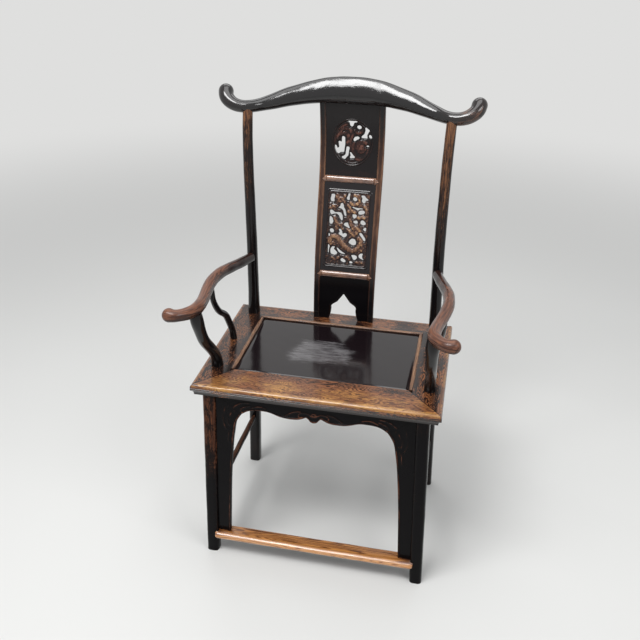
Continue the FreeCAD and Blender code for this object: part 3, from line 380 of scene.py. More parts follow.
# edges of the splat: brown, even and silky
stileLacquer = agedLacquer("splatEdgeLacquer", lacquerBase | {
    "thin": "38231b", "wornDark": "54382a", "worn": "7d5a43", "bare": "a67c55",
    "patchy": 0.35, "streaky": 0.15, "flecky": 0.12, "edge": 0.4, "shine": 0.35})
# half-round rails polished by backs: light brown, tops paler partly as a painted highlight, under a bright
# line
barLacquer = agedLacquer("splatRailLacquer", lacquerBase | {
    "lacquer": "2c1a15", "thin": "563628", "wornDark": "603d2b", "worn": "9c7054", "bare": "c09a78",
    "gloss": 0.18, "dull": 0.28, "edge": 0.3, "shine": 1.0, "coat": 1.0, "silk": 0.22})
# carved elm: dark in its hollows, brown and golden where the relief stands out
carvedLacquer = agedLacquer("carvedElmLacquer", lacquerBase | {
    "lacquer": "130e11", "thin": "2e1b17", "wornDark": "46291f", "worn": "7f5d49", "bare": "bd9768",
    "gloss": 0.16, "dull": 0.26, "patchy": 0.4, "streaky": 0.3, "flecky": 0.8, "edge": 0.25, "shine": 0.4,
    "coat": 0.1, "silk": 0.2})
# the seat frame's lacquer, sat and knelt on: fine dark squiggles left on golden brown
frameLacquer = agedLacquer("distressedFrameLacquer", lacquerBase | {
    "lacquer": "170e0c", "thin": "38221a", "wornDark": "57341f", "worn": "82502f", "bare": "c0904a",
    "fleck": 1.4, "lines": 150.0, "patchy": 0.5, "streaky": 0.25, "flecky": 0.8, "figured": 0.3, "edge": 0.16,
    "gloss": 0.20, "dull": 0.36, "bump": 0.2, "shine": 0.2, "coat": 0.8, "silk": 0.18})
# the medallion's lacquer: darker and redder than the panel below it
medallionLacquer = agedLacquer("medallionLacquer", lacquerBase | {
    "lacquer": "130e0f", "thin": "2e1a17", "wornDark": "452822", "worn": "704a3f", "bare": "96705a",
    "gloss": 0.16, "dull": 0.30, "patchy": 0.3, "streaky": 0.2, "flecky": 0.5, "edge": 0.3, "shine": 0.3})
# beads round the seat board: rubbed to tan
beadLacquer = agedLacquer("rubbedBeadLacquer", lacquerBase | {
    "lacquer": "2b1b14", "thin": "4d3224", "wornDark": "5c3f2c", "worn": "8c6850", "bare": "b0875c",
    "edge": 0.25, "shine": 0.45})
# aprons: black, with the raised scrolls showing reddish
apronLacquer = agedLacquer("apronLacquer", lacquerBase | {
    "wornDark": "38201a", "worn": "643e2e", "patchy": 0.7})
# elm trodden bare and polished: orange brown, long dark grain lines, a shiny nose made pale partly as a
# painted highlight
footrestWood = agedLacquer("treadWornElmPaintedHighlight", lacquerBase | {
    "lacquer": "3b2116", "thin": "6e3f20", "wornDark": "80481f", "worn": "c4833f", "bare": "dca878",
    "streak": 2.0, "ring": 20.8, "length": 500, "lines": 130.0, "fineness": 0.2, "patchy": 0.2,
    "streaky": 0.25, "flecky": 0.04, "figured": 0.32, "edge": 0.4,
    "gloss": 0.24, "dull": 0.36, "bump": 0.10, "shine": 0.7, "coat": 1.0, "silk": 0.22})


def panelLacquer(look):
    # the seat board's lacquer: deep and glossy, with a patch where sitting has scuffed it grey and matt
    sources = grainPlace | {"patch": ("ShaderNodeAttribute", "Fac", {"attribute_name": "patch"})}
    patterns = [
        ("streak", (60, 2.5, 2.5), 4.0, 0.6, 0.4, 0), ("cloud", (38, 24, 24), 4.0, 0.6, 0.0, 0),
        ("scrape", (34, 3.5, 3.5), 4.0, 0.65, 0.5, 0)]
    shares = [
        ("isDull", "patch", {"cloud": 0.6, "scrape": 1.8}, (0.3, 1.9)),
        ("isBrown", "wear", {"cloud": 0.5, "streak": 0.5}, (0.4, 0.9)),
        ("roughness", "isDull", {"cloud": 0.25}, (0.0, 1.0, look["gloss"], look["matt"])),
        ("height", "isDull", {"streak": 0.4, "scrape": 0.3}, None)]
    colours = [("whole", "isBrown", look["lacquer"], look["brown"]),
               ("colour", "isDull", "whole", look["scuff"])]
    shader = {"IOR": 1.5, "Coat Weight": 0.3, "Coat Roughness": 0.1, "Specular IOR Level": 0.5}
    return woodFinish("seatPanelLacquer", sources, patterns, shares, colours, (0.15, 0.0005), shader)


panelLook = {"lacquer": "160f12", "brown": "241714", "scuff": "7a787a", "gloss": 0.12, "matt": 0.5}
panelFinish = panelLacquer(panelLook)


def bareElm(look):
    # unfinished elm under the seat: dry, pale brown, with long open grain
    sources = {"place": ("ShaderNodeTexCoord", "Object", {})}
    patterns = [("streak", (3, 70, 3), 4.0, 0.6, 0.3, 0)]
    shares = [("tone", "streak", {}, (0.3, 0.7)), ("height", "streak", {}, None)]
    colours = [("colour", "tone", look["dark"], look["light"])]
    return woodFinish("bareElm", sources, patterns, shares, colours, (0.4, 0.0005), {"Roughness": 0.7})


elmLook = {"dark": "6b4a2e", "light": "9a7248"}
elmFinish = bareElm(elmLook)
print("finishes made")


# Legs and back posts

# rows of a member: x, y, z, its two half widths and how square it is, where 2 is round; wear is a list of the
# length's share and the wear there
postLook = {
    "rows": [(255 - 0.031 * floorZ, 186 - 0.033 * floorZ, floorZ, 15.2, 15.2, 3.6),
             (251.3, 182.1, 120, 15.3, 15.3, 3.6), (247.6, 178.2, 240, 15.4, 15.4, 3.6),
             (243.9, 174.2, 360, 15.5, 15.5, 3.6), (241.4, 171.6, 440, 15.5, 15.5, 3.5),
             (239.9, 169.9, 488, 15.5, 15.5, 3.0), (239, 169, 520, 15.5, 15.5, 2.2),
             (237.2, 164.8, 574, 14.3, 14.3, 2), (235.7, 160, 628.1, 13.8, 13.8, 2),
             (234.1, 154, 701.6, 13.3, 13.3, 2), (233, 147.8, 786.5, 12.9, 12.9, 2),
             (233, 144.5, 878.9, 12.4, 12.4, 2), (233.2, 144, 952.4, 12.1, 12.1, 2),
             (233.9, 149, 1006.5, 11.9, 11.9, 2), (235, 159.5, 1057, 11.8, 11.8, 2)],
    "count": 260, "around": 56, "across": (1, 0, 0), "plumb": True, "handmade": 0.25,
    "wear": [(0, 0.2), (0.1, 0.08), (0.5, 0.05), (0.68, 0.06), (0.76, 0.32), (0.84, 0.42), (0.93, 0.42),
             (1, 0.66)],
    "wearFront": 0.2, "wearEdge": 0.12,
}
leftPostWear = [(0, 0.2), (0.1, 0.08), (0.5, 0.05), (0.68, 0.04), (0.76, 0.18), (0.84, 0.36), (0.95, 0.32),
                (1, 0.6)]
limbPair("backPost", postLook, postLacquer, "back_post_", {"wear": leftPostWear})

frontLegLook = {
    "rows": [(260 - 0.0336 * floorZ, -186 + 0.006 * floorZ, floorZ, 15.1, 15.1, 3.6),
             (254.6, -185, 160, 15.2, 15.2, 3.6), (249.3, -184, 320, 15.25, 15.25, 3.6),
             (245, -183.3, 446, 15.25, 15.25, 3.6), (243.5, -183, 492, 15.25, 15.25, 3.6)],
    "count": 150, "around": 64, "across": (1, 0, 0), "plumb": True, "handmade": 0.3,
    "wear": [(0, 0.2), (0.08, 0.02), (0.8, 0.02), (1, 0.2)], "wearEdge": 0.12,
}
leftLegWear = [(0, 0.25), (0.08, 0.08), (0.4, 0.12), (0.6, 0.38), (0.85, 0.54), (1, 0.52)]
limbPair("frontLeg", frontLegLook, legLacquer, "front_leg_", {"wear": leftLegWear})
print("legs and posts made")


# Crest rail

# rows from the middle to one end, with the egg's lean as their last number
crestHalf = [(0, 229.5, 1095, 17.5, 31, 2.1, 0.5), (39.9, 227.5, 1094.5, 17.5, 30.1, 2.1, 0.5),
             (75.1, 222.5, 1091.5, 17.1, 27.5, 2.1, 0.46), (110, 214.4, 1085.7, 16.6, 24.5, 2.1, 0.4),
             (144.9, 203.4, 1078.8, 15.9, 21.5, 2.1, 0.3), (174.9, 191.4, 1070.8, 15.2, 18.3, 2.05, 0.2),
             (204.9, 177.3, 1063.6, 14.3, 15.3, 2.0, 0.08), (235.1, 160.8, 1060.5, 14, 14.2, 2, 0),
             (250.8, 157.4, 1061.1, 14.2, 14.5, 2, 0), (266, 156.6, 1065.1, 14.7, 15.2, 2, 0),
             (279.4, 160.8, 1072.2, 16.1, 16.4, 2, 0), (287.8, 167.5, 1080.5, 17.1, 17.4, 2, 0),
             (290.7, 175.8, 1089, 17.4, 17.7, 2, 0)]
crestLook = {
    "rows": [(-row[0],) + row[1:] for row in crestHalf[:0:-1]] + crestHalf,
    "count": 330, "around": 80, "across": (0, 1, 0), "knobStart": True, "knobEnd": True, "handmade": 0.3,
    "wear": [(0, 0.3), (0.06, 0.3), (0.14, 0.15), (0.3, 0.05), (0.5, 0.0), (0.7, 0.08), (0.84, 0.34),
             (0.93, 0.5), (1, 0.45)],
    "wearDown": 0.3,
}
limb("crestRail", crestLook, crestLacquer, ["crest_rail"])
print("crest rail made")


# Arms and their posts

armLook = {
    "rows": [(235.2, 140, 688.1, 12.2, 12.2, 2), (238.4, 124, 689.6, 12.4, 12.2, 2),
             (253.4, 67.2, 696, 12.9, 12.7, 2), (267.5, 2.2, 704, 13.5, 13.1, 2),
             (270.3, -60.6, 708.1, 13.8, 13.3, 2), (261.3, -124.7, 710, 13.6, 13.1, 2),
             (252.3, -178.8, 715.1, 13.5, 13.1, 2), (255.2, -235.8, 722.1, 14, 13.5, 2),
             (270.3, -257.6, 725.2, 13, 13, 2), (281.1, -263.9, 726, 13.8, 13.8, 2),
             (290.5, -263, 725.6, 15.1, 15.1, 2)],
    "count": 260, "around": 56, "across": (0, 0, 1), "knobEnd": True, "handmade": 0.35,
    "wear": [(0, 0.12), (0.2, 0.28), (0.45, 0.5), (0.75, 0.6), (0.9, 0.55), (1, 0.68)],
    "wearUp": 0.3, "wearDown": -0.3,
}
limbPair("armRail", armLook, armLacquer, "arm_rail_")

gooseneckLook = {
    "rows": [(249, -108, 518, 14.2, 14.2, 2), (249, -111.3, 534, 13.5, 13.5, 2),
             (249.2, -123.4, 558, 12.8, 12.8, 2), (249.3, -155.4, 594.9, 12.7, 12.7, 2),
             (249.5, -186.9, 631.9, 12.8, 12.8, 2), (249.7, -206.2, 668.8, 13.5, 13.5, 2),
             (250.2, -216.6, 699.8, 14.2, 14.2, 2), (250.7, -218.2, 712, 13, 13, 2)],
    "count": 120, "around": 52, "across": (1, 0, 0), "handmade": 0.3,
    "wear": [(0, 0.1), (0.1, 0.25), (0.3, 0.3), (0.45, 0.12), (0.8, 0.1), (1, 0.35)],
}
limbPair("gooseneck", gooseneckLook, postLacquer, "gooseneck_")

armPostLook = {
    "rows": [(249, 19, 518, 8.7, 8.7, 2), (249.8, 18.1, 531.3, 8.2, 8.2, 2),
             (251.9, 15.9, 547.1, 8.2, 8.2, 2), (254.2, 5.6, 570.8, 8.2, 8.2, 2),
             (257.6, -8.7, 597.2, 8.2, 8.2, 2), (261.4, -35.6, 619.8, 7.8, 7.8, 2),
             (264.3, -59.2, 649.9, 7.1, 7.1, 2), (265.8, -67.2, 670.6, 6.6, 6.6, 2),
             (267.4, -67.2, 689.4, 6.4, 6.4, 2), (268.8, -66.8, 699, 6.4, 6.4, 2)],
    "count": 110, "around": 40, "across": (1, 0, 0), "handmade": 0.2,
    "wear": [(0, 0.3), (0.2, 0.35), (0.45, 0.3), (0.7, 0.08), (1, 0.1)],
}
limbPair("armPost", armPostLook, postLacquer, "arm_post_")
print("arms made")


# Stretchers and footrest

def stretcher(name, look, nodes, side=1):
    # a stick from leg to leg whose half widths are their largest times 1 - taper * (2t - 1)²
    t = np.linspace(0, 1, 7)[:, None]
    line = np.asarray(look["start"], float) * (1 - t) + np.asarray(look["end"], float) * t
    swell = 1 - look["taper"] * (2 * t - 1) ** 2
    rows = np.c_[line, look["halfSide"] * swell, look["halfOther"] * swell, np.full(7, look["power"])]
    limb(name, look | {"rows": rows}, blackLacquer, nodes, side)


upperLook = {"start": (248.7, -168, 336), "end": (244.6, 160, 336), "halfSide": 9.4, "halfOther": 9.4,
             "power": 2.3, "taper": 0.06, "count": 90, "around": 36, "across": (1, 0, 0), "handmade": 0.35,
             "wear": [(0, 0.1), (0.1, 0.3), (0.9, 0.3), (1, 0.1)], "wearUp": 0.5}
lowerLook = upperLook | {"start": (254.1, -169, 175), "end": (249.6, 166, 175),
                         "halfSide": 7.4, "halfOther": 7.4}
backLook = upperLook | {"start": (-233, 178.2, 244), "end": (233, 178.2, 244),
                        "halfSide": 7.9, "halfOther": 12.9, "power": 3.5, "taper": 0.02, "across": (0, 1, 0)}
for side, word in sides:
    stretcher("upperStretcher" + word, upperLook, ["side_stretcher_upper_" + word.lower()], side)
    stretcher("lowerStretcher" + word, lowerLook, ["side_stretcher_lower_" + word.lower()], side)
stretcher("backStretcher", backLook, ["back_stretcher"])


def footrest(look):
    # the tread: a section with a round nose, r - r * cos in y and half the thickness * sin in z, carried
    # along x; past the legs only its front goes on as laps, whose ends curve back like quarter rounds
    front, back, high, half = look["front"], look["back"], look["top"], look["half"]
    r, corner, shoulder = look["nose"], look["corner"], look["shoulder"]
    low = high - look["thickness"]
    middle = (low + high) / 2
    nose = np.radians(np.linspace(-90, 90, 13))
    curve = np.c_[front + r - r * np.cos(nose), middle + (high - middle) * np.sin(nose)]
    top = np.c_[np.linspace(front + r + 2, back - 1.5, 12), np.full(12, high)]
    heel = [(back - 0.4, high - 0.4), (back, high - 1.5), (back, low + 1.5), (back - 0.4, low + 0.4)]
    bottom = top[::-1] * [1, 0] + [0, low]
    section = np.vstack([curve, top, heel, bottom])
    x = np.r_[np.linspace(-half, -shoulder, 9), np.linspace(-shoulder + 0.01, shoulder - 0.01, 150),
              np.linspace(shoulder, half, 9)]
    points = np.stack(np.broadcast_arrays(x[:, None], section[:, 0], section[:, 1]), -1)
    lap = np.abs(x)[:, None] >= shoulder - 0.001
    points[..., 1] = np.where(lap, np.minimum(points[..., 1], look["lapBack"]), points[..., 1])
    end = np.clip(half - np.abs(x), 0, corner)[:, None]
    turn = corner - np.sqrt(np.maximum(corner ** 2 - (corner - end) ** 2, 0))
    points[..., 1] += turn * smoothStep(front + 10, front, points[..., 1])
    dip = look["tread"] * np.exp(-(x / look["treadWidth"]) ** 2)[:, None] * (points[..., 2] > middle)
    points[..., 2] -= dip * smoothStep(back, front + 8, points[..., 1])
    points[..., 2] += ripple(points, 70, 5) * look["handmade"]
    # the nose is trodden bare, and its pale colour there is also partly a painted highlight
    wear = look["bare"] + 0.5 * smoothStep(front + 16, front + 3, points[..., 1])
    wear = wear - 0.5 * (points[..., 2] < middle - 3)   # the underside keeps its lacquer
    wear = wear - 0.25 * smoothStep(half - 40, half, np.abs(points[..., 0]))
    points, faces = closedRings(points)
    wear = np.r_[wear.ravel(), 0.2, 0.2]
    makePiece("footrest", points, faces, points, wear, footrestWood, ["footrest"], 35)


footrestLook = {"top": 78, "thickness": 20, "front": -208.8, "back": -170.8, "nose": 15, "corner": 8.5,
                "half": 250, "shoulder": 242.2, "lapBack": -197, "tread": 1.2, "treadWidth": 120,
                "handmade": 0.35, "bare": 0.6}
footrest(footrestLook)
print("stretchers and footrest made")


# Seat frame, beads and panel

def mitredRail(name, look, nodes):
    # one moulded section carried along its side; at distance d from the edge it starts d * slope further in,
    # so both ends lie on the mitres
    top, low, width, length = look["top"], look["low"], look["width"], look["length"]
    inner = width - look["rebateWidth"]
    section = look["edge"] + [(d, top, w) for d, w in look["face"] if d < inner - 1] + [(inner, top, 0.5)]
    if look["rebateWidth"]:
        section = section + [(inner, top - look["rebate"], 0.2), (width, top - look["rebate"], 0.2)]
    d, z, w = np.array(section + [(width, low, 0.1), (look["foot"], low, 0.1)]).T
    t = np.r_[0, 0.001, 0.004, np.linspace(0.012, 0.988, look["count"]), 0.996, 0.999, 1][:, None]
    first, last = d * look["slopes"][0], length - d * look["slopes"][1]
    run = first + (last - first) * t
    start, along, inward = (np.asarray(look[key], float) for key in ("start", "along", "inward"))
    points = start + along * run[..., None] + inward * d[:, None]
    points[..., 2] = z
    skin = z > top - 0.2
    points[..., 2] -= np.where(skin, look["hollow"] * np.exp(-((d - width / 2) / 22) ** 2), 0)
    points[..., 2] += np.where(skin, look["handmade"] * ripple(points, 60, 8), 0)
    wear = w + look["rubbed"] + 0.16 * ripple(points, 90, 11)
    wear = wear - 0.7 * smoothStep(1.6, 0.0, np.minimum(run - first, last - run))   # dark lines on the mitres
    points, faces = closedRings(points)
    grain = points @ np.asarray(alongX if along[0] else alongY, float).T
    wear = np.r_[wear.ravel(), 0, 0]
    makePiece(name, points, faces, grain, wear, frameLacquer, nodes, 28)


seatHalfX, seatHalfY = 283, 207
frontWide, sideWide, backWide = 85, 80, 69
# the edge is distance in, height and wear up the moulded side, and the face distance in and wear over the top
frameLook = {
    "top": seatTop, "low": railLowZ, "foot": 7, "count": 110, "hollow": 0.5, "handmade": 0.18,
    "rubbed": -0.15, "rebate": 3, "rebateWidth": 9,
    "edge": [(7, 494.5, 0.1), (6.4, 497, 0.1), (5.0, 499.8, 0.12), (2.8, 502.2, 0.15), (0.9, 503.6, 0.2),
             (0.0, 504.2, 0.3), (0.0, 505.4, 0.2), (0.7, 505.9, 0.0), (0.7, 506.6, 0.0), (0.0, 507.1, 0.35),
             (0.0, 509.4, 0.4), (0.7, 509.9, 0.1), (0.7, 510.5, 0.1), (0.1, 511.0, 0.55), (0.5, 513.3, 0.7),
             (1.4, 515.4, 0.9), (2.8, 517.3, 1.0), (4.8, 518.8, 0.95), (7.4, 519.7, 0.85), (10.4, 520, 0.7)],
    "face": [(14, 0.56), (18, 0.58), (25, 0.6), (33, 0.62), (42, 0.6), (50, 0.58), (57, 0.55), (62, 0.5),
             (66, 0.4), (70, 0.35), (76, 0.35), (81, 0.4)],
}
crossLook = frameLook | {"along": (1, 0, 0), "length": 2 * seatHalfX}
mitredRail("seatRailFront", crossLook | {
    "width": frontWide, "start": (-seatHalfX, -seatHalfY, 0), "inward": (0, 1, 0),
    "slopes": (sideWide / frontWide, sideWide / frontWide), "rubbed": 0.16, "rebateWidth": 0},
    ["seat_rail_front"])
mitredRail("seatRailBack", crossLook | {
    "width": backWide, "start": (-seatHalfX, seatHalfY, 0), "inward": (0, -1, 0),
    "slopes": (sideWide / backWide, sideWide / backWide)}, ["seat_rail_back"])
for side, word in sides:
    mitredRail("seatRail" + word, frameLook | {
        "width": sideWide, "start": (seatHalfX * side, -seatHalfY, 0), "inward": (-side, 0, 0),
        "along": (0, 1, 0), "length": 2 * seatHalfY, "slopes": (frontWide / sideWide, backWide / sideWide)},
        ["seat_rail_" + word.lower()])

beadSize = (519.2, 4.4, 2.7, 2.6)   # height, half width, half height and how square
beadLook = {"rows": [(207.5, y) + beadSize for y in (-121.8, -60, 0, 80, 138)], "count": 60, "around": 28,
            "across": (1, 0, 0), "wear": [(0, 0.3), (0.1, 0.6), (0.9, 0.6), (1, 0.3)], "wearUp": 0.35,
            "handmade": 0.12}
limbPair("seatBead", beadLook, beadLacquer, "seat_bead_")
backBeadRows = [(x, 142.5) + beadSize for x in (-211.8, -100, 0, 100, 211.8)]
limb("seatBeadBack", beadLook | {"rows": backBeadRows, "across": (0, 1, 0)}, beadLacquer,
     ["seat_bead_back"])


def polygonDistance(x, z, corners):
    # distance to a closed outline, negative inside it: that of the nearest side, and a point is inside where
    # a level line from it crosses an odd number of sides
    corners = np.asarray(corners, float)
    nearest = np.full(x.shape, 1e9)
    inside = np.zeros(x.shape, bool)
    for (ax, az), (bx, bz) in zip(corners, np.roll(corners, -1, 0)):
        dx, dz = bx - ax, bz - az
        t = np.clip(((x - ax) * dx + (z - az) * dz) / (dx * dx + dz * dz), 0, 1)
        nearest = np.minimum(nearest, np.hypot(x - ax - t * dx, z - az - t * dz))
        crosses = (az > z) != (bz > z)
        where = ax + (z - az) / (dz if dz else 1e-9) * dx
        inside ^= crosses & (x < where)
    return np.where(inside, -nearest, nearest)


def seatPanel(look):
    # a board whose top falls by drop over its border as a smooth step, and by dish in a bell shape round the
    # middle; soft waves bend the reflections
    halfX, low, high, inset = look["halfX"], look["front"], look["back"], look["border"] / 2
    x = np.r_[-halfX, np.linspace(-halfX + inset, halfX - inset, 150), halfX]
    y = np.r_[low, np.linspace(low + inset, high - inset, 100), high]
    gridX, gridY = np.meshgrid(x, y)
    edge = np.minimum(halfX - np.abs(gridX), np.minimum(gridY - low, high - gridY))
    top = look["top"] - look["drop"] * (1 - smoothStep(0, look["border"], edge))
    place = np.stack([gridX, gridY, 0 * gridX], -1)
    top = top + look["wave"] * (ripple(place, 120, 21) + 0.25 * ripple(place, 34, 5) - 1)
    top = top - look["dish"] * np.exp(-(gridX / 120) ** 2 - (gridY / 80) ** 2)
    front = np.stack([gridX, gridY, top], -1)
    back = np.stack([gridX, gridY, np.full(gridX.shape, look["top"] - look["thickness"])], -1)
    patch = smoothStep(12, -26, polygonDistance(gridX, gridY, look["patch"]))
    patch = patch + 0.5 * np.exp(-((gridY - 52) / 5) ** 2 - (gridX / 46) ** 2)   # a short scrape behind it
    wear = 0.3 + 0.5 * np.exp(-(edge / 5) ** 2)
    shell("seatPanel", front, back, alongX, wear, panelFinish, ["seat_panel"], 30,
          {"patch": patch})


panelShape = {"halfX": 202.8, "front": -121.8, "back": 137.8, "top": 518, "drop": 1.4, "border": 9,
              "thickness": 12, "wave": 0.15, "dish": 0.4,
              "patch": [(-87, 60), (1, 62), (66, 26), (56, -45), (-86, -64), (-112, -34)]}
seatPanel(panelShape)
print("seat made")


# Boards under the seat

def shapedBoard(name, inner, outer, out, look, nodes, side=1, strokes=()):
    # a board between a shaped edge and a straight one: near the shaped edge its rows keep their distance from
    # it, so that a bead of that width stands along it; strokes are low scrolls, half rounds over lines
    span = np.linalg.norm(outer - inner, axis=1)[:, None]
    near = np.array([0, 0.35, 0.9, 1.6, 2.3, 3.0, 3.7, 4.3, 4.8, 5.2, 6.0, 7.5])
    far = np.linspace(0, 1, look["across"])[1:]
    even = (span - near[-1]) * np.r_[0 * near, far]
    reach = np.minimum(np.r_[near, near[-1] + 0 * far] + even, span)
    face = inner[:, None] + unit(outer - inner)[:, None] * reach[..., None]
    bead = halfRound(reach - look["beadHalf"], look["beadHalf"])
    flat = face @ np.array(look["flat"], float).T
    scroll = np.zeros(reach.shape)
    for width, height, line in strokes:
        away = flat[..., None, :] - flatLine(line, 40)
        gap = np.hypot(away[..., 0], away[..., 1]).min(-1)
        scroll = np.maximum(scroll, height * halfRound(gap, width))
    lift = np.maximum(look["bead"] * bead, scroll) + look["handmade"] * ripple(face, 50, 4)
    out = np.asarray(out, float)
    front, back = face + out * lift[..., None], face - out * look["thickness"]
    wear = look["wear"] + 0.45 * bead + 0.38 * scroll
    if side < 0:
        front, back = mirrorPoints(front), mirrorPoints(back)
    shell(name, front, back, look["grain"], wear, look["finish"], nodes, 35)


def leaning(z, atSeat, lean):
    # where a leg is at a height: its place under the seat frame plus lean * its share of the way to the floor
    return atSeat + lean * (railLowZ - z) / railLowZ


# the arch under the front rail, x and height: a cusp in the middle, a wave to each side, then down the legs
archEnd = (168.1, 445)
archHalf = [(0, 445), (6.9, 447.1), (12.6, 454.2), (17, 458), (34, 450.1), (56.9, 448), (80, 451),
            (104.1, 459), (119.9, 460), (149.9, 456), archEnd]
archLeg = [archEnd, (182, 421.1), (188.1, 392.1), (191, 374.2), (196, 331), (203, 247), (208, 158), (212, 78)]
apronLook = {"frontY": -189.25, "legInner": 228.25, "top": railLowZ, "thickness": 11, "bead": 1.3,
             "beadHalf": 2.6, "across": 26, "wear": 0.12, "handmade": 0.15, "flat": [(1, 0, 0), (0, 0, 1)],
             "grain": alongX, "finish": apronLacquer}
rightArch = np.vstack([flatLine(archHalf[:4], 16), flatLine(archHalf[3:], 110)[1:]])
arch = np.vstack([rightArch[:0:-1] * [-1, 1], rightArch])
inner = np.insert(arch, 1, apronLook["frontY"], 1)
outer = inner * [apronLook["legInner"] / archEnd[0], 1, 0] + [0, 0, apronLook["top"]]
scrollLines = [
    [(4, 462), (12, 468), (24, 470), (34, 464), (33, 457), (27, 458)],
    [(30, 472), (44, 470), (58, 462), (66, 456)], [(148, 470), (160, 466), (170, 456), (165, 449)],
    [(150, 478), (166, 476), (180, 468), (190, 458)], [(110, 468), (128, 471), (146, 464)]]
apronScrolls = [(2.2, 1.2, np.array(line) * [sign, 1]) for sign in (-1, 1) for line in scrollLines]
apronScrolls.append((3.2, 1.3, [(-5, 466), (0, 463), (5, 466), (0, 471), (-5, 466)]))
shapedBoard("frontApron", inner, outer, (0, -1, 0), apronLook, ["front_apron"], 1, apronScrolls)

# the faces of the legs that carry boards: their place under the seat frame and their lean to the floor
legFaces = {"inner": (229.5, 16.5), "outer": (249.75, 16.5), "front": (-168.5, -3), "back": (155.4, 16.1),
            "behind": (176.4, 16.1), "post": (225.4, 15.1)}
inner = np.insert(flatLine(archLeg, 150), 1, apronLook["frontY"], 1)
outerZ = np.linspace(apronLook["top"], archLeg[-1][1], 150)
outer = np.c_[leaning(outerZ, *legFaces["inner"]), inner[:, 1], outerZ]
spandrelScrolls = [(2.2, 1.1, line) for line in (
    [(186, 452), (196, 440), (202, 424), (200, 410), (194, 412)],
    [(204, 462), (212, 444), (214, 420), (208, 398)], [(198, 396), (203, 380), (204, 362)])]
for side, word in sides:
    shapedBoard("frontSpandrel" + word, inner, outer, (0, -1, 0), apronLook | {"grain": alongZ, "across": 14},
                ["front_spandrel_" + word.lower()], side, spandrelScrolls)

# tongues run down the legs from the side and back aprons: height and how far they stand out there
tongueRows = [(345.5, 6), (394, 27), (397, 33), (401, 38.5), (406, 42), (408, 43), (491, 43)]
sidePlane = [(0, 1, 0), (0, 0, 1)]
backTongueLook = apronLook | {"across": 14, "grain": alongZ}
sideTongueLook = backTongueLook | {"flat": sidePlane}
heights = np.r_[np.linspace(345.5, 392, 24), np.linspace(393, 410, 24), np.linspace(413, 491, 24)]
edge = np.interp(heights, *np.array(tongueRows, float).T)
tongueStep = 21.3   # from the legs' front faces to the face of the back tongues
sideX, postX = leaning(heights, *legFaces["outer"]), leaning(heights, *legFaces["post"])
frontLegY, backLegY = leaning(heights, *legFaces["front"]), leaning(heights, *legFaces["back"])
for side, word in sides:
    for name, node, x, y, way, out, look in (
            ("sideTongueFront", "side_tongue_front_", sideX, frontLegY, (0, 1, 0), (1, 0, 0), sideTongueLook),
            ("sideTongueBack", "side_tongue_back_", sideX, backLegY, (0, -1, 0), (1, 0, 0), sideTongueLook),
            ("backTongue", "back_tongue_", postX, backLegY + tongueStep, (-1, 0, 0), (0, 1, 0),
             backTongueLook)):
        outer = np.c_[x, y, heights]
        shapedBoard(name + word, outer + edge[:, None] * way, outer, out, look, [node + word.lower()], side)

# side and back aprons: the share of the way along and the share of the depth there
depthRows = [(0, 1), (0.05, 0.97), (0.10, 0.78), (0.155, 0.58), (0.22, 0.53), (0.30, 0.52), (0.5, 0.52),
             (0.70, 0.52), (0.78, 0.53), (0.845, 0.58), (0.90, 0.78), (0.95, 0.97), (1, 1)]
plainLook = apronLook | {"across": 12, "depth": 50}
count = 150
low = railLowZ - plainLook["depth"] * smoothRows(depthRows, np.linspace(0, 1, count))[:, 0]
y = np.linspace(-124.7, 111.4, count)
inner = np.c_[leaning(low, *legFaces["outer"]), y, low]
outer = np.c_[np.full(count, legFaces["outer"][0]), y, np.full(count, railLowZ)]
for side, word in sides:
    shapedBoard("sideApron" + word, inner, outer, (1, 0, 0), plainLook | {"grain": alongY, "flat": sidePlane},
                ["side_apron_" + word.lower()], side)
x = np.linspace(-181.6, 181.6, count)
inner = np.c_[x, leaning(low, *legFaces["behind"]), low]
outer = np.c_[x, np.full(count, legFaces["behind"][0]), np.full(count, railLowZ)]
shapedBoard("backApron", inner, outer, (0, 1, 0), plainLook, ["back_apron"])
print("boards under the seat made")


# Back splat

# in mm; the curve is the y of the splat's front at each height
splatLook = {"halfWidth": 78.5, "stile": 15, "panelFront": 2.5, "panelThickness": 8,
             "curve": [(500, 171.5), (529, 172.1), (558, 172.3), (587, 173.1), (616, 174.8), (645, 177.6),
                       (674, 181.2), (703, 185.7), (732, 191.2), (761, 197.7), (790, 204.7), (819, 212),
                       (848, 219.1), (877, 225.9), (906, 230.9), (935, 234.1), (964, 235), (993, 233.7),
                       (1022, 230.5), (1051, 225.3), (1080, 220.7)]}


def splatFront(z):
    # y of the splat's front at each height, from the smooth line through its curve's rows
    return smoothRows(splatLook["curve"], np.ravel(z))[:, 0].reshape(np.shape(z))


stileHeights = np.linspace(519, 1066, 20)
stileLook = {"rows": [(71, y + 6.5, z, 7.5, 6.5, 5) for y, z in zip(splatFront(stileHeights), stileHeights)],
             "count": 220, "around": 44, "across": (1, 0, 0), "handmade": 0.15, "sharp": 80,
             "wear": [(0, 0.05), (0.15, 0.2), (0.3, 0.45), (0.5, 0.58), (0.7, 0.56), (0.85, 0.42), (1, 0.1)],
             "wearEdge": 0.3}
limbPair("splatStile", stileLook, stileLacquer, "splat_stile_")


def splatBar(name, z, look, nodes):
    # a half round cross rail: its half height shrinks in line with the way past the body to points over the
    # stiles, and its depth steps down there
    tip, body, thin = look["tip"], look["body"], look["thin"]
    x = np.r_[-tip, -tip + 1.2, np.linspace(-body - 1, body + 1, 40), tip - 1.2, tip]
    point = np.clip((tip - np.abs(x)) / (tip - body), 0.02, 1)
    halfDeep = thin + (look["deep"] - thin) * smoothStep(body + 0.5, body - 0.5, np.abs(x))
    y = splatFront([z])[0] - look["proud"] + halfDeep
    rows = np.c_[x, y, np.full(len(x), z), halfDeep, look["halfHigh"] * point, np.full(len(x), look["power"])]
    limb(name, look | {"rows": rows}, barLacquer, nodes)
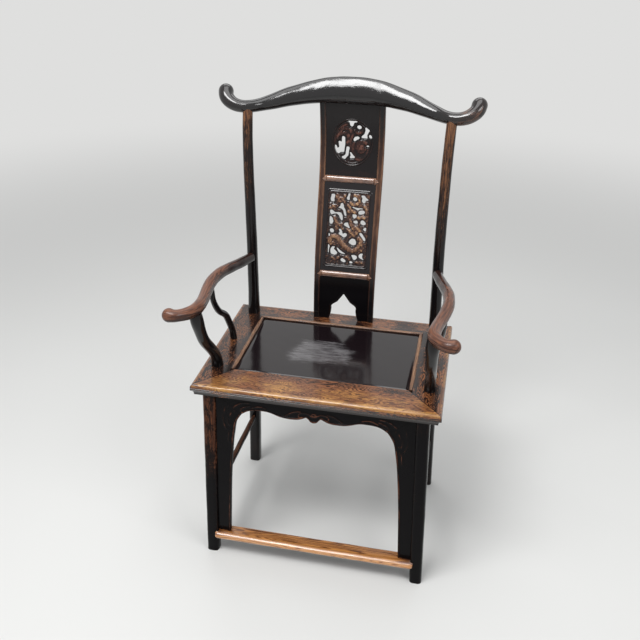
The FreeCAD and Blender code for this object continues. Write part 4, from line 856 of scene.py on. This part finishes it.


# the wear added on the rails' tops is partly rubbing and partly a painted highlight
barLook = {"tip": 69.5, "body": 61.5, "deep": 7.5, "thin": 1.6, "halfHigh": 8.5, "proud": 2.1, "power": 2.3,
           "count": 150, "around": 40, "across": (0, 1, 0),
           "wear": [(0, 0.6), (0.2, 0.5), (0.8, 0.5), (1, 0.6)], "wearFront": 0.1, "wearUp": 0.3,
           "handmade": 0.15}
splatBar("splatUpperRail", 880, barLook, ["splat_upper_rail"])
splatBar("splatLowerRail", 644.5, barLook, ["splat_lower_rail"])


def softened(values, times):
    # mean of each point, counted twice, and its four neighbours, a few times over
    for _ in range(times):
        padded = np.pad(values, 1, mode="edge")
        nextTo = padded[:-2, 1:-1] + padded[2:, 1:-1] + padded[1:-1, :-2] + padded[1:-1, 2:]
        values = (padded[1:-1, 1:-1] * 2 + nextTo) / 6
    return values


def strokeHeight(x, z, strokes):
    # half rounds over smooth lines: at each point the highest height * sqrt(1 - (distance / width)²)
    total = np.zeros(x.shape)
    for width, height, line in strokes:
        points = flatLine(line, 26)
        gap = np.full(x.shape, 1e9)
        for (ax, az), (bx, bz) in zip(points[:-1], points[1:]):
            dx, dz = bx - ax, bz - az
            t = np.clip(((x - ax) * dx + (z - az) * dz) / (dx * dx + dz * dz + 1e-9), 0, 1)
            gap = np.minimum(gap, np.hypot(x - ax - t * dx, z - az - t * dz))
        total = np.maximum(total, height * halfRound(gap, width))
    return total


def piercedPanel(name, low, high, cell, holes, carve, finish, nodes):
    # cells of a fine grid whose middle is wood are kept, and points on the cut slide down the slope of the
    # distance to the holes, by distance / slope, to where it is zero; carve gives the height of the face and
    # its wear
    half = splatLook["halfWidth"] - splatLook["stile"] + 1
    x = np.linspace(-half, half, int(2 * half / cell) + 1)
    z = np.linspace(low, high, int((high - low) / cell) + 1)
    gridX, gridZ = np.meshgrid(x, z)
    gap = softened(np.min([polygonDistance(gridX, gridZ, corners) for corners in holes], 0), 3)
    keep = gap[:-1, :-1] + gap[1:, :-1] + gap[:-1, 1:] + gap[1:, 1:] > 0
    near = np.zeros(gridX.shape, int)
    for i in (0, 1):
        for j in (0, 1):
            near[i:i + keep.shape[0], j:j + keep.shape[1]] += keep
    inside = np.zeros(gridX.shape, bool)
    inside[1:-1, 1:-1] = True
    cut = inside & (near > 0) & (near < 4)
    slopeZ, slopeX = np.gradient(gap, z, x)
    steep = np.maximum(slopeX ** 2 + slopeZ ** 2, 0.2)
    gridX = gridX + np.where(cut, np.clip(-gap * slopeX / steep, -cell, cell), 0)
    gridZ = gridZ + np.where(cut, np.clip(-gap * slopeZ / steep, -cell, cell), 0)
    gap = np.where(cut, 0, np.maximum(gap, 0))
    lift, wear = carve(gridX, gridZ, gap)
    face = splatFront(gridZ) + splatLook["panelFront"]
    front = np.stack([gridX, face - lift, gridZ], -1).reshape(-1, 3)
    behind = face + splatLook["panelThickness"] - 0.7 * np.exp(-gap / 1.5)   # rounded edges of the holes
    back = np.stack([gridX, behind, gridZ], -1).reshape(-1, 3)
    size = gridX.size
    index = np.arange(size).reshape(gridX.shape)
    quads = np.stack([index[:-1, :-1], index[:-1, 1:], index[1:, 1:], index[1:, :-1]], -1)[keep]
    solid = np.pad(keep, 1)
    walls = []
    for one, two, start, stop in ((solid[:-1, 1:-1], solid[1:, 1:-1], index[:, :-1], index[:, 1:]),
                                  (solid[1:-1, :-1], solid[1:-1, 1:], index[:-1, :], index[1:, :])):
        a, b = start[one != two], stop[one != two]
        walls.append(np.stack([a, b, b + size, a + size], -1))
    faces = np.vstack([quads, quads[:, ::-1] + size] + walls)
    used, numbers = np.unique(faces, return_inverse=True)
    points = np.vstack([front, back])[used]
    grain = points @ np.asarray(alongZ, float).T
    wear = np.r_[wear.ravel(), np.full(size, 0.2)][used]
    makePiece(name, points, numbers.reshape(faces.shape).tolist(), grain, wear, finish, nodes, 50)


def toSplat(holes, look):
    # hundredths of a carved field's half width and half height to mm
    across, up = look["halfWidth"], look["halfHeight"]
    return [[(u / 100 * across, look["middle"] + v / 100 * up) for u, v in hole] for hole in holes]


def sunk(gap, look):
    # how far carved wood rounds down to its holes, as a quarter round, and the share of the way from them
    roll = np.clip(gap / look["round"], 0, 1)
    return -look["fall"] * (1 - np.sqrt(1 - (1 - roll) ** 2)), roll


# holes and strokes are in hundredths of the carved field's half width and half height; a stroke is its half
# width, its height in mm and its line
medallionHoles = [
    [(-22, 94), (23, 94), (23, 88), (7, 84), (2, 71), (-5, 66), (-13, 71), (-16, 84), (-22, 88)],
    [(44, 66), (41, 60), (33, 57), (24, 60), (21, 66), (24, 72), (33, 75), (41, 72)],
    [(61, 66), (69, 69), (86, 57), (79, 46), (72, 34), (74, 18), (44, 19), (45, 27), (58, 37), (63, 51)],
    [(98, 29), (96, 22), (90, 19), (83, 22), (80, 29), (83, 35), (88, 38), (94, 35)],
    [(5, 13), (12, 23), (27, 26), (36, 21), (30, 13), (20, 9), (10, 2), (5, 6)],
    [(-88, -17), (-81, -16), (-74, -30), (-66, -26), (-69, -10), (-70, -1), (-63, 2), (-54, -3), (-53, 19),
     (-46, 24), (-37, 19), (-36, -10), (-41, -47), (-58, -48), (-69, -55), (-78, -50), (-86, -34)],
    [(-29, -23), (-21, -20), (-13, -24), (-17, -44), (-19, -60), (-27, -67), (-36, -78), (-50, -74),
     (-52, -67), (-41, -62), (-33, -56), (-32, -42)],
    [(-13, -46), (-5, -44), (7, -57), (15, -63), (13, -70), (-7, -73), (-12, -70), (-7, -60)],
    [(85, -15), (82, -18), (75, -19), (70, -17), (70, -13), (75, -11), (82, -12)],
]
medallionLook = {
    "middle": 971, "halfWidth": 49, "halfHeight": 56, "ring": 1.3, "rings": ((1.0, 0.030), (0.905, 0.026)),
    "round": 5.0, "fall": 3.0, "low": 0.7, "veins": 0.34, "rough": 0.22,
    "strokes": [   # a curled body low on the right, long leaves round the left, tips at the top
        (10, 1.6, [(5, -5), (0, -35), (15, -62), (45, -72), (75, -55), (85, -30)]),
        (10, 1.8, [(62, -25), (45, -38), (28, -28), (28, -8), (48, 2), (68, -2)]),
        (7, 1.7, [(42, -20), (50, -12), (58, -20), (50, -27), (42, -20)]),
        (9, 1.5, [(-90, -10), (-90, 20), (-72, 52), (-45, 74), (-30, 80)]),
        (8, 1.5, [(-72, 12), (-62, 40), (-38, 60), (-22, 62)]),
        (8, 1.4, [(-55, 30), (-35, 38), (-20, 30), (-22, 2), (-22, -14)]),
        (8, 1.7, [(-10, 55), (0, 35), (-5, 10), (-8, -20)]), (7, 1.6, [(12, 50), (30, 42), (48, 50)]),
        (6, 1.4, [(55, 85), (62, 74), (50, 74)]), (6, 1.4, [(88, 10), (90, -5), (84, -30)]),
    ],
}


def carveMedallion(x, z, gap):
    # flat outside two thin half round rings; inside them the wood rounds down to its holes, carries the
    # strokes and is veined by sines of the distance to two places
    look = medallionLook
    u, v = x / look["halfWidth"], (z - look["middle"]) / look["halfHeight"]
    far = np.hypot(u, v)
    rings = np.max([halfRound(far - at, width) for at, width in look["rings"]], 0)
    inner = smoothStep(0.92, 0.84, far)
    body, roll = sunk(gap, look)
    carved = strokeHeight(100 * u, 100 * v, look["strokes"])
    rightLines, leftLines = np.sin(24 * np.hypot(u - 0.42, v + 0.18)), np.sin(26 * np.hypot(u + 0.05,
                                                                                            v + 0.5))
    lines = np.where(u > -0.1, rightLines, leftLines)
    veins = look["veins"] * lines * smoothStep(0.1, 0.5, carved)
    veins = veins + look["rough"] * ripple(np.stack([x, 0 * x, z], -1), 5.5, 7)
    lift = look["ring"] * rings + inner * (body - look["low"] + carved + veins)
    foot = 0.24 * np.exp(-((v + 1.32) / 0.22) ** 2)   # rubbed above the rail
    wear = 0.06 + foot + 0.34 * rings + inner * (0.10 + 0.2 * roll + 0.18 * carved + 0.4 * veins)
    return lift, wear


piercedPanel("splatMedallionPanel", 886, 1070, 0.72, toSplat(medallionHoles, medallionLook), carveMedallion,
             medallionLacquer, ["splat_medallion_panel"])

openworkHoles = [
    [(-92, 93), (-76, 94), (-73, 89), (-77, 82), (-75, 75), (-79, 72), (-94, 73), (-96, 80), (-93, 87)],
    [(-6, 98), (3, 98), (3, 94), (0, 89), (2, 80), (-7, 79), (-13, 81), (-14, 86), (-9, 90)],
    [(40, 83), (37, 79), (29, 77), (21, 79), (17, 83), (20, 87), (28, 89), (36, 87)],
    [(60, 95), (75, 95), (82, 90), (95, 85), (94, 81), (83, 81), (79, 74), (70, 73), (62, 79), (65, 86),
     (59, 91)],
    [(-42, 69), (-33, 71), (-27, 66), (-25, 59), (-17, 53), (-13, 45), (-9, 36), (-18, 35), (-23, 40),
     (-28, 49), (-37, 54), (-52, 56), (-54, 58), (-45, 61)],
    [(18, 63), (30, 61), (48, 60), (69, 60), (75, 57), (54, 56), (46, 52), (33, 56), (18, 59)],
    [(54, 53), (78, 54), (83, 49), (76, 44), (63, 42), (51, 42), (49, 48)],
    [(21, 42), (38, 42), (44, 39), (40, 33), (28, 29), (21, 35)],
    [(-94, 50), (-83, 50), (-69, 44), (-51, 45), (-37, 44), (-29, 36), (-27, 26), (-33, 21), (-43, 28),
     (-48, 35), (-60, 40), (-75, 39), (-88, 36), (-95, 42)],
    [(-95, 31), (-89, 33), (-80, 28), (-74, 19), (-80, 11), (-92, 10), (-95, 17)],
    [(28, 23), (42, 26), (50, 23), (49, 17), (37, 16), (27, 19)],
    [(66, 26), (76, 28), (89, 22), (91, 17), (79, 13), (65, 16), (63, 21)],
    [(77, 3), (91, 9), (95, 6), (94, -2), (87, -3)],
    [(-15, 17), (0, 19), (5, 11), (13, 4), (6, 2), (-7, 6), (-17, 8), (-21, 12)],
    [(-68, -7), (-71, -12), (-79, -14), (-87, -12), (-91, -7), (-88, -3), (-80, -1), (-72, -3)],
    [(-94, -14), (-87, -18), (-88, -23), (-95, -25), (-96, -18)],
    [(-46, -1), (-33, -1), (-27, -6), (-23, -15), (-14, -11), (-4, -12), (0, -17), (-10, -24), (-20, -25),
     (-28, -21), (-43, -17), (-45, -13), (-38, -10), (-43, -5)],
    [(60, -10), (68, -7), (75, -9), (85, -16), (94, -23), (94, -30), (86, -30), (76, -22), (66, -16)],
    [(9, -38), (16, -30), (26, -25), (40, -26), (48, -33), (48, -41), (37, -45), (22, -43)],
    [(-95, -47), (-90, -47), (-86, -52), (-89, -60), (-90, -72), (-94, -73), (-95, -60)],
    [(-81, -59), (-72, -52), (-59, -51), (-64, -59), (-52, -64), (-45, -69), (-49, -74), (-60, -77),
     (-79, -74), (-82, -66)],
    [(-51, -54), (-43, -55), (-31, -61), (-15, -67), (-1, -70), (-9, -72), (-27, -71), (-39, -67),
     (-47, -60)],
    [(26, -73), (42, -71), (56, -74), (58, -80), (47, -87), (38, -86), (33, -80)],
    [(65, -71), (75, -66), (87, -65), (83, -73), (85, -79), (93, -83), (89, -85), (73, -81), (66, -78)],
    [(-27, -87), (-17, -83), (-1, -89), (0, -94), (-9, -97), (-25, -93)],
    [(37, -94), (34, -97), (26, -98), (19, -96), (19, -92), (25, -90), (33, -91)],
]
openworkLook = {
    "middle": 760.5, "halfWidth": 49.5, "halfHeight": 88, "ridge": 1.2, "ridges": (2.2, 6.6),
    "ridgeHalf": 1.4, "corner": 8.0, "round": 5.2, "fall": 3.4, "low": 0.8, "veins": 0.40, "rough": 0.34,
    "strokes": [   # the smooth long body low across, leaves and buds above it
        (6.6, 3.0, [(-86, -36), (-82, -24), (-62, -20), (-42, -26), (-22, -40), (5, -52), (35, -58),
         (52, -52)]),
        (5.6, 1.9, [(52, -52), (68, -40), (74, -30), (62, -22)]),
        (6, 1.6, [(5, 2), (20, -8), (38, -12), (52, -5)]), (5.5, 1.5, [(30, 5), (48, 6), (66, 0)]),
        (5, 1.5, [(-62, 92), (-50, 84), (-32, 84), (-24, 92)]), (4.5, 1.4, [(-55, 76), (-40, 78), (-25, 75)]),
        (5, 1.6, [(8, 74), (20, 70), (42, 72), (52, 82), (45, 93), (25, 94)]),
        (4.5, 1.4, [(-5, 66), (8, 60), (12, 50)]), (4.5, 1.4, [(82, 66), (90, 58), (92, 50)]),
        (4.5, 1.5, [(2, 50), (20, 50), (38, 48)]), (4.5, 1.4, [(50, 34), (66, 36), (82, 36)]),
        (5, 1.5, [(-90, 58), (-78, 62), (-62, 62)]), (6, 1.5, [(-66, 30), (-56, 16), (-50, 4)]),
        (5, 1.4, [(-40, 12), (-28, 12), (-26, 2)]), (4.5, 1.4, [(12, 25), (18, 15), (30, 10)]),
        (4.5, 1.3, [(75, -40), (80, -52), (72, -60)]), (4.5, 1.3, [(-70, -84), (-50, -86), (-36, -80)]),
        (4.5, 1.4, [(-5, -80), (10, -78), (20, -84)]), (4, 1.2, [(50, -93), (66, -90), (84, -92)]),
        (4, 1.3, [(-92, -40), (-80, -44), (-72, -40)]),
    ],
}


def roundedDistance(x, z, halfX, halfZ, corner):
    # distance to an upright rectangle with round corners, negative inside it
    outX, outZ = np.abs(x) - (halfX - corner), np.abs(z) - (halfZ - corner)
    return np.hypot(np.maximum(outX, 0), np.maximum(outZ, 0)) + np.minimum(np.maximum(outX, outZ), 0) - corner


def carveOpenwork(x, z, gap):
    # two thin half round ridges along an upright rectangle; inside it the wood rounds down to its holes,
    # carries the strokes and is veined by slanting sines, but the long body stays smooth
    look = openworkLook
    height = z - look["middle"]
    aways = [roundedDistance(x, height, look["halfWidth"] + grow, look["halfHeight"] + grow, look["corner"])
             for grow in look["ridges"]]
    ridges = np.max([halfRound(away, look["ridgeHalf"]) for away in aways], 0)
    inner = smoothStep(0.0, -1.5, aways[0])
    body, roll = sunk(gap, look)
    u, v = x / look["halfWidth"], height / look["halfHeight"]
    stretch = look["halfHeight"] / look["halfWidth"]
    strokes = [(width * stretch, raised, np.asarray(line) * [1, stretch])
               for width, raised, line in look["strokes"]]
    carved = strokeHeight(100 * u, 100 * v * stretch, strokes)
    leaf = carved < 1.8
    veins = look["veins"] * np.sin(u * 23 + v * 41) * (leaf & (carved > 0.2))
    veins = veins + look["rough"] * ripple(np.stack([x, 0 * x, z], -1), 5.0, 9) * leaf
    lift = look["ridge"] * ridges + inner * (body - look["low"] + carved + veins)
    golden = 0.16 * smoothStep(-0.5, 0.8, u) * smoothStep(-0.4, 0.3, v)   # most rubbed high on the right
    wear = 0.17 + 0.18 * roll + 0.22 * np.minimum(carved, 1.9) + 0.5 * veins + golden
    return lift, 0.12 + 0.24 * ridges + inner * wear


piercedPanel("splatOpenworkPanel", 651, 873.5, 0.80, toSplat(openworkHoles, openworkLook), carveOpenwork,
             carvedLacquer, ["splat_openwork_panel"])

ogeeHalf = [(38, 515), (38, 520), (33.4, 534.6), (31.9, 547.7), (32.7, 556.5), (27.4, 562.3), (16.7, 569.6),
            (8.4, 581.3), (0, 593)]
ogeeLine = np.array(ogeeHalf + [(-x, z) for x, z in ogeeHalf[-2::-1]])
footLook = {"bead": 0.8, "beadHalf": 1.5, "beadFrom": 3.2, "fall": 0.5}


def carveFoot(x, z, gap):
    # a thin half round bead follows the edge of the opening, which is worn down
    look = footLook
    bead = halfRound(gap - look["beadFrom"], look["beadHalf"])
    return look["bead"] * bead - look["fall"] * np.exp(-gap / 0.8), 0.1 + 0.3 * bead


piercedPanel("splatFootPanel", 519, 638, 0.9, [ogeeLine], carveFoot, blackLacquer,
             ["splat_foot_panel"])
print("splat made")

for side, word in sides:   # hidden under the panel
    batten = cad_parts["seat_batten_" + word.lower()]
    batten.data.materials.clear()
    batten.data.materials.append(elmFinish)


# Floor, light and camera

# colours as hex, and in metres the size of the floor and the span over which it clears
stageLook = {"floor": "dededc", "size": 30.0, "clear": (1.3, 4.5), "back": "dfdfde", "sky": "f2f4f6",
             "world": 0.36}


def seenRays(tree):
    # 1 for the rays that show a background: straight to the camera, mirrored, or let through
    rays = addNode(tree, "ShaderNodeLightPath")
    seen = rays.outputs["Is Camera Ray"]
    for key in ("Is Glossy Ray", "Is Transmission Ray"):
        links = {0: seen, 1: rays.outputs[key]}
        seen = addNode(tree, "ShaderNodeMath", links=links, operation="MAXIMUM").outputs[0]
    return seen


floorMesh = bpy.data.meshes.new("floor")
reach = stageLook["size"]
floorMesh.from_pydata([(-reach, -reach, 0), (reach, -reach, 0), (reach, reach, 0), (-reach, reach, 0)], [],
                      [(0, 1, 2, 3)])
floor = bpy.data.objects.new("floor", floorMesh)
scene.collection.objects.link(floor)
# matt near the chair, and farther off it takes the background's even tone, so that no edge of it shows
floorFinish = bpy.data.materials.new("paleFloor")
floorFinish.use_nodes = True
tree = floorFinish.node_tree
tree.nodes.clear()
matt = addNode(tree, "ShaderNodeBsdfPrincipled",
               {"Base Color": hexColour(stageLook["floor"]), "Roughness": 0.7})
plain = addNode(tree, "ShaderNodeEmission", {"Color": hexColour(stageLook["back"]), "Strength": 1.0})
spot = addNode(tree, "ShaderNodeTexCoord")
away = addNode(tree, "ShaderNodeVectorMath", links={0: spot.outputs["Object"]}, operation="LENGTH")
fade = addNode(tree, "ShaderNodeMapRange", dict(zip(("From Min", "From Max"), stageLook["clear"])),
               {"Value": away.outputs["Value"]}, interpolation_type="SMOOTHSTEP")
share = addNode(tree, "ShaderNodeMath", links={0: fade.outputs[0], 1: seenRays(tree)}, operation="MULTIPLY")
mixed = addNode(tree, "ShaderNodeMixShader",
                links={0: share.outputs[0], 1: matt.outputs[0], 2: plain.outputs[0]})
addNode(tree, "ShaderNodeOutputMaterial", links={"Surface": mixed.outputs[0]})
floorMesh.materials.append(floorFinish)

world = bpy.data.worlds.new("studio")
scene.world = world
world.use_nodes = True
tree = world.node_tree
tree.nodes.clear()
soft = addNode(tree, "ShaderNodeBackground",
               {"Color": hexColour(stageLook["sky"]), "Strength": stageLook["world"]})
pale = addNode(tree, "ShaderNodeBackground", {"Color": hexColour(stageLook["back"]), "Strength": 1.0})
mixed = addNode(tree, "ShaderNodeMixShader",
                links={0: seenRays(tree), 1: soft.outputs[0], 2: pale.outputs[0]})
addNode(tree, "ShaderNodeOutputWorld", links={"Surface": mixed.outputs[0]})


def addLamp(name, place, target, size, power):
    # a soft light of this size; its tilt and turn are the angles of the way from its place to its target
    lamp = bpy.data.lights.new(name, "AREA")
    lamp.shape = "RECTANGLE"
    lamp.size, lamp.size_y = size
    lamp.energy = power
    item = bpy.data.objects.new(name, lamp)
    scene.collection.objects.link(item)
    way = np.array(target, float) - np.array(place, float)
    item.location = place
    tilt, turn = math.atan2(math.hypot(way[0], way[1]), -way[2]), math.atan2(way[0], -way[1]) + math.pi
    item.rotation_euler = (tilt, 0, turn)


# place, target and size in metres and power in watts: a soft key above, a strip whose highlights run along
# the rounds, a fill from the right and a rim from behind
lampLooks = {
    "keyLight": ((0.1, -0.15, 3.0), (0, 0.1, 0.6), (1.9, 1.1), 18),
    "stripLight": ((-0.65, -1.25, 2.85), (0.0, 0.1, 0.9), (1.35, 0.75), 56),
    "fillLight": ((2.3, -1.5, 2.7), (0, 0, 0.7), (1.6, 0.9), 26),
    "rimLight": ((-0.3, 1.5, 2.9), (0, 0.2, 0.9), (2.2, 1.0), 15),
}
for name, lampLook in lampLooks.items():
    addLamp(name, *lampLook)

# the camera's place and lens in mm and its angles in degrees
cameraLook = {"place": (289, -1549.8, 1475), "yaw": 11.38, "pitch": 28.53, "roll": 0.70, "lens": 43.07}
camera = bpy.data.objects.new("camera", bpy.data.cameras.new("camera"))
scene.collection.objects.link(camera)
camera.data.lens = cameraLook["lens"]
camera.data.sensor_width = 36
yaw, pitch, roll = (math.radians(cameraLook[key]) for key in ("yaw", "pitch", "roll"))
ahead = np.array([-math.sin(yaw) * math.cos(pitch), math.cos(yaw) * math.cos(pitch), -math.sin(pitch)])
level = np.array([math.cos(yaw), math.sin(yaw), 0])
rightWay = math.cos(roll) * level + math.sin(roll) * np.cross(level, ahead)
place = (np.array(cameraLook["place"]) - [0, 0, floorZ]) * mm
rows = np.c_[rightWay, np.cross(rightWay, ahead), -ahead, place].tolist() + [[0, 0, 0, 1]]
camera.matrix_world = Matrix(rows)
scene.camera = camera
scene.view_settings.view_transform = "Standard"
print("stage and camera made")
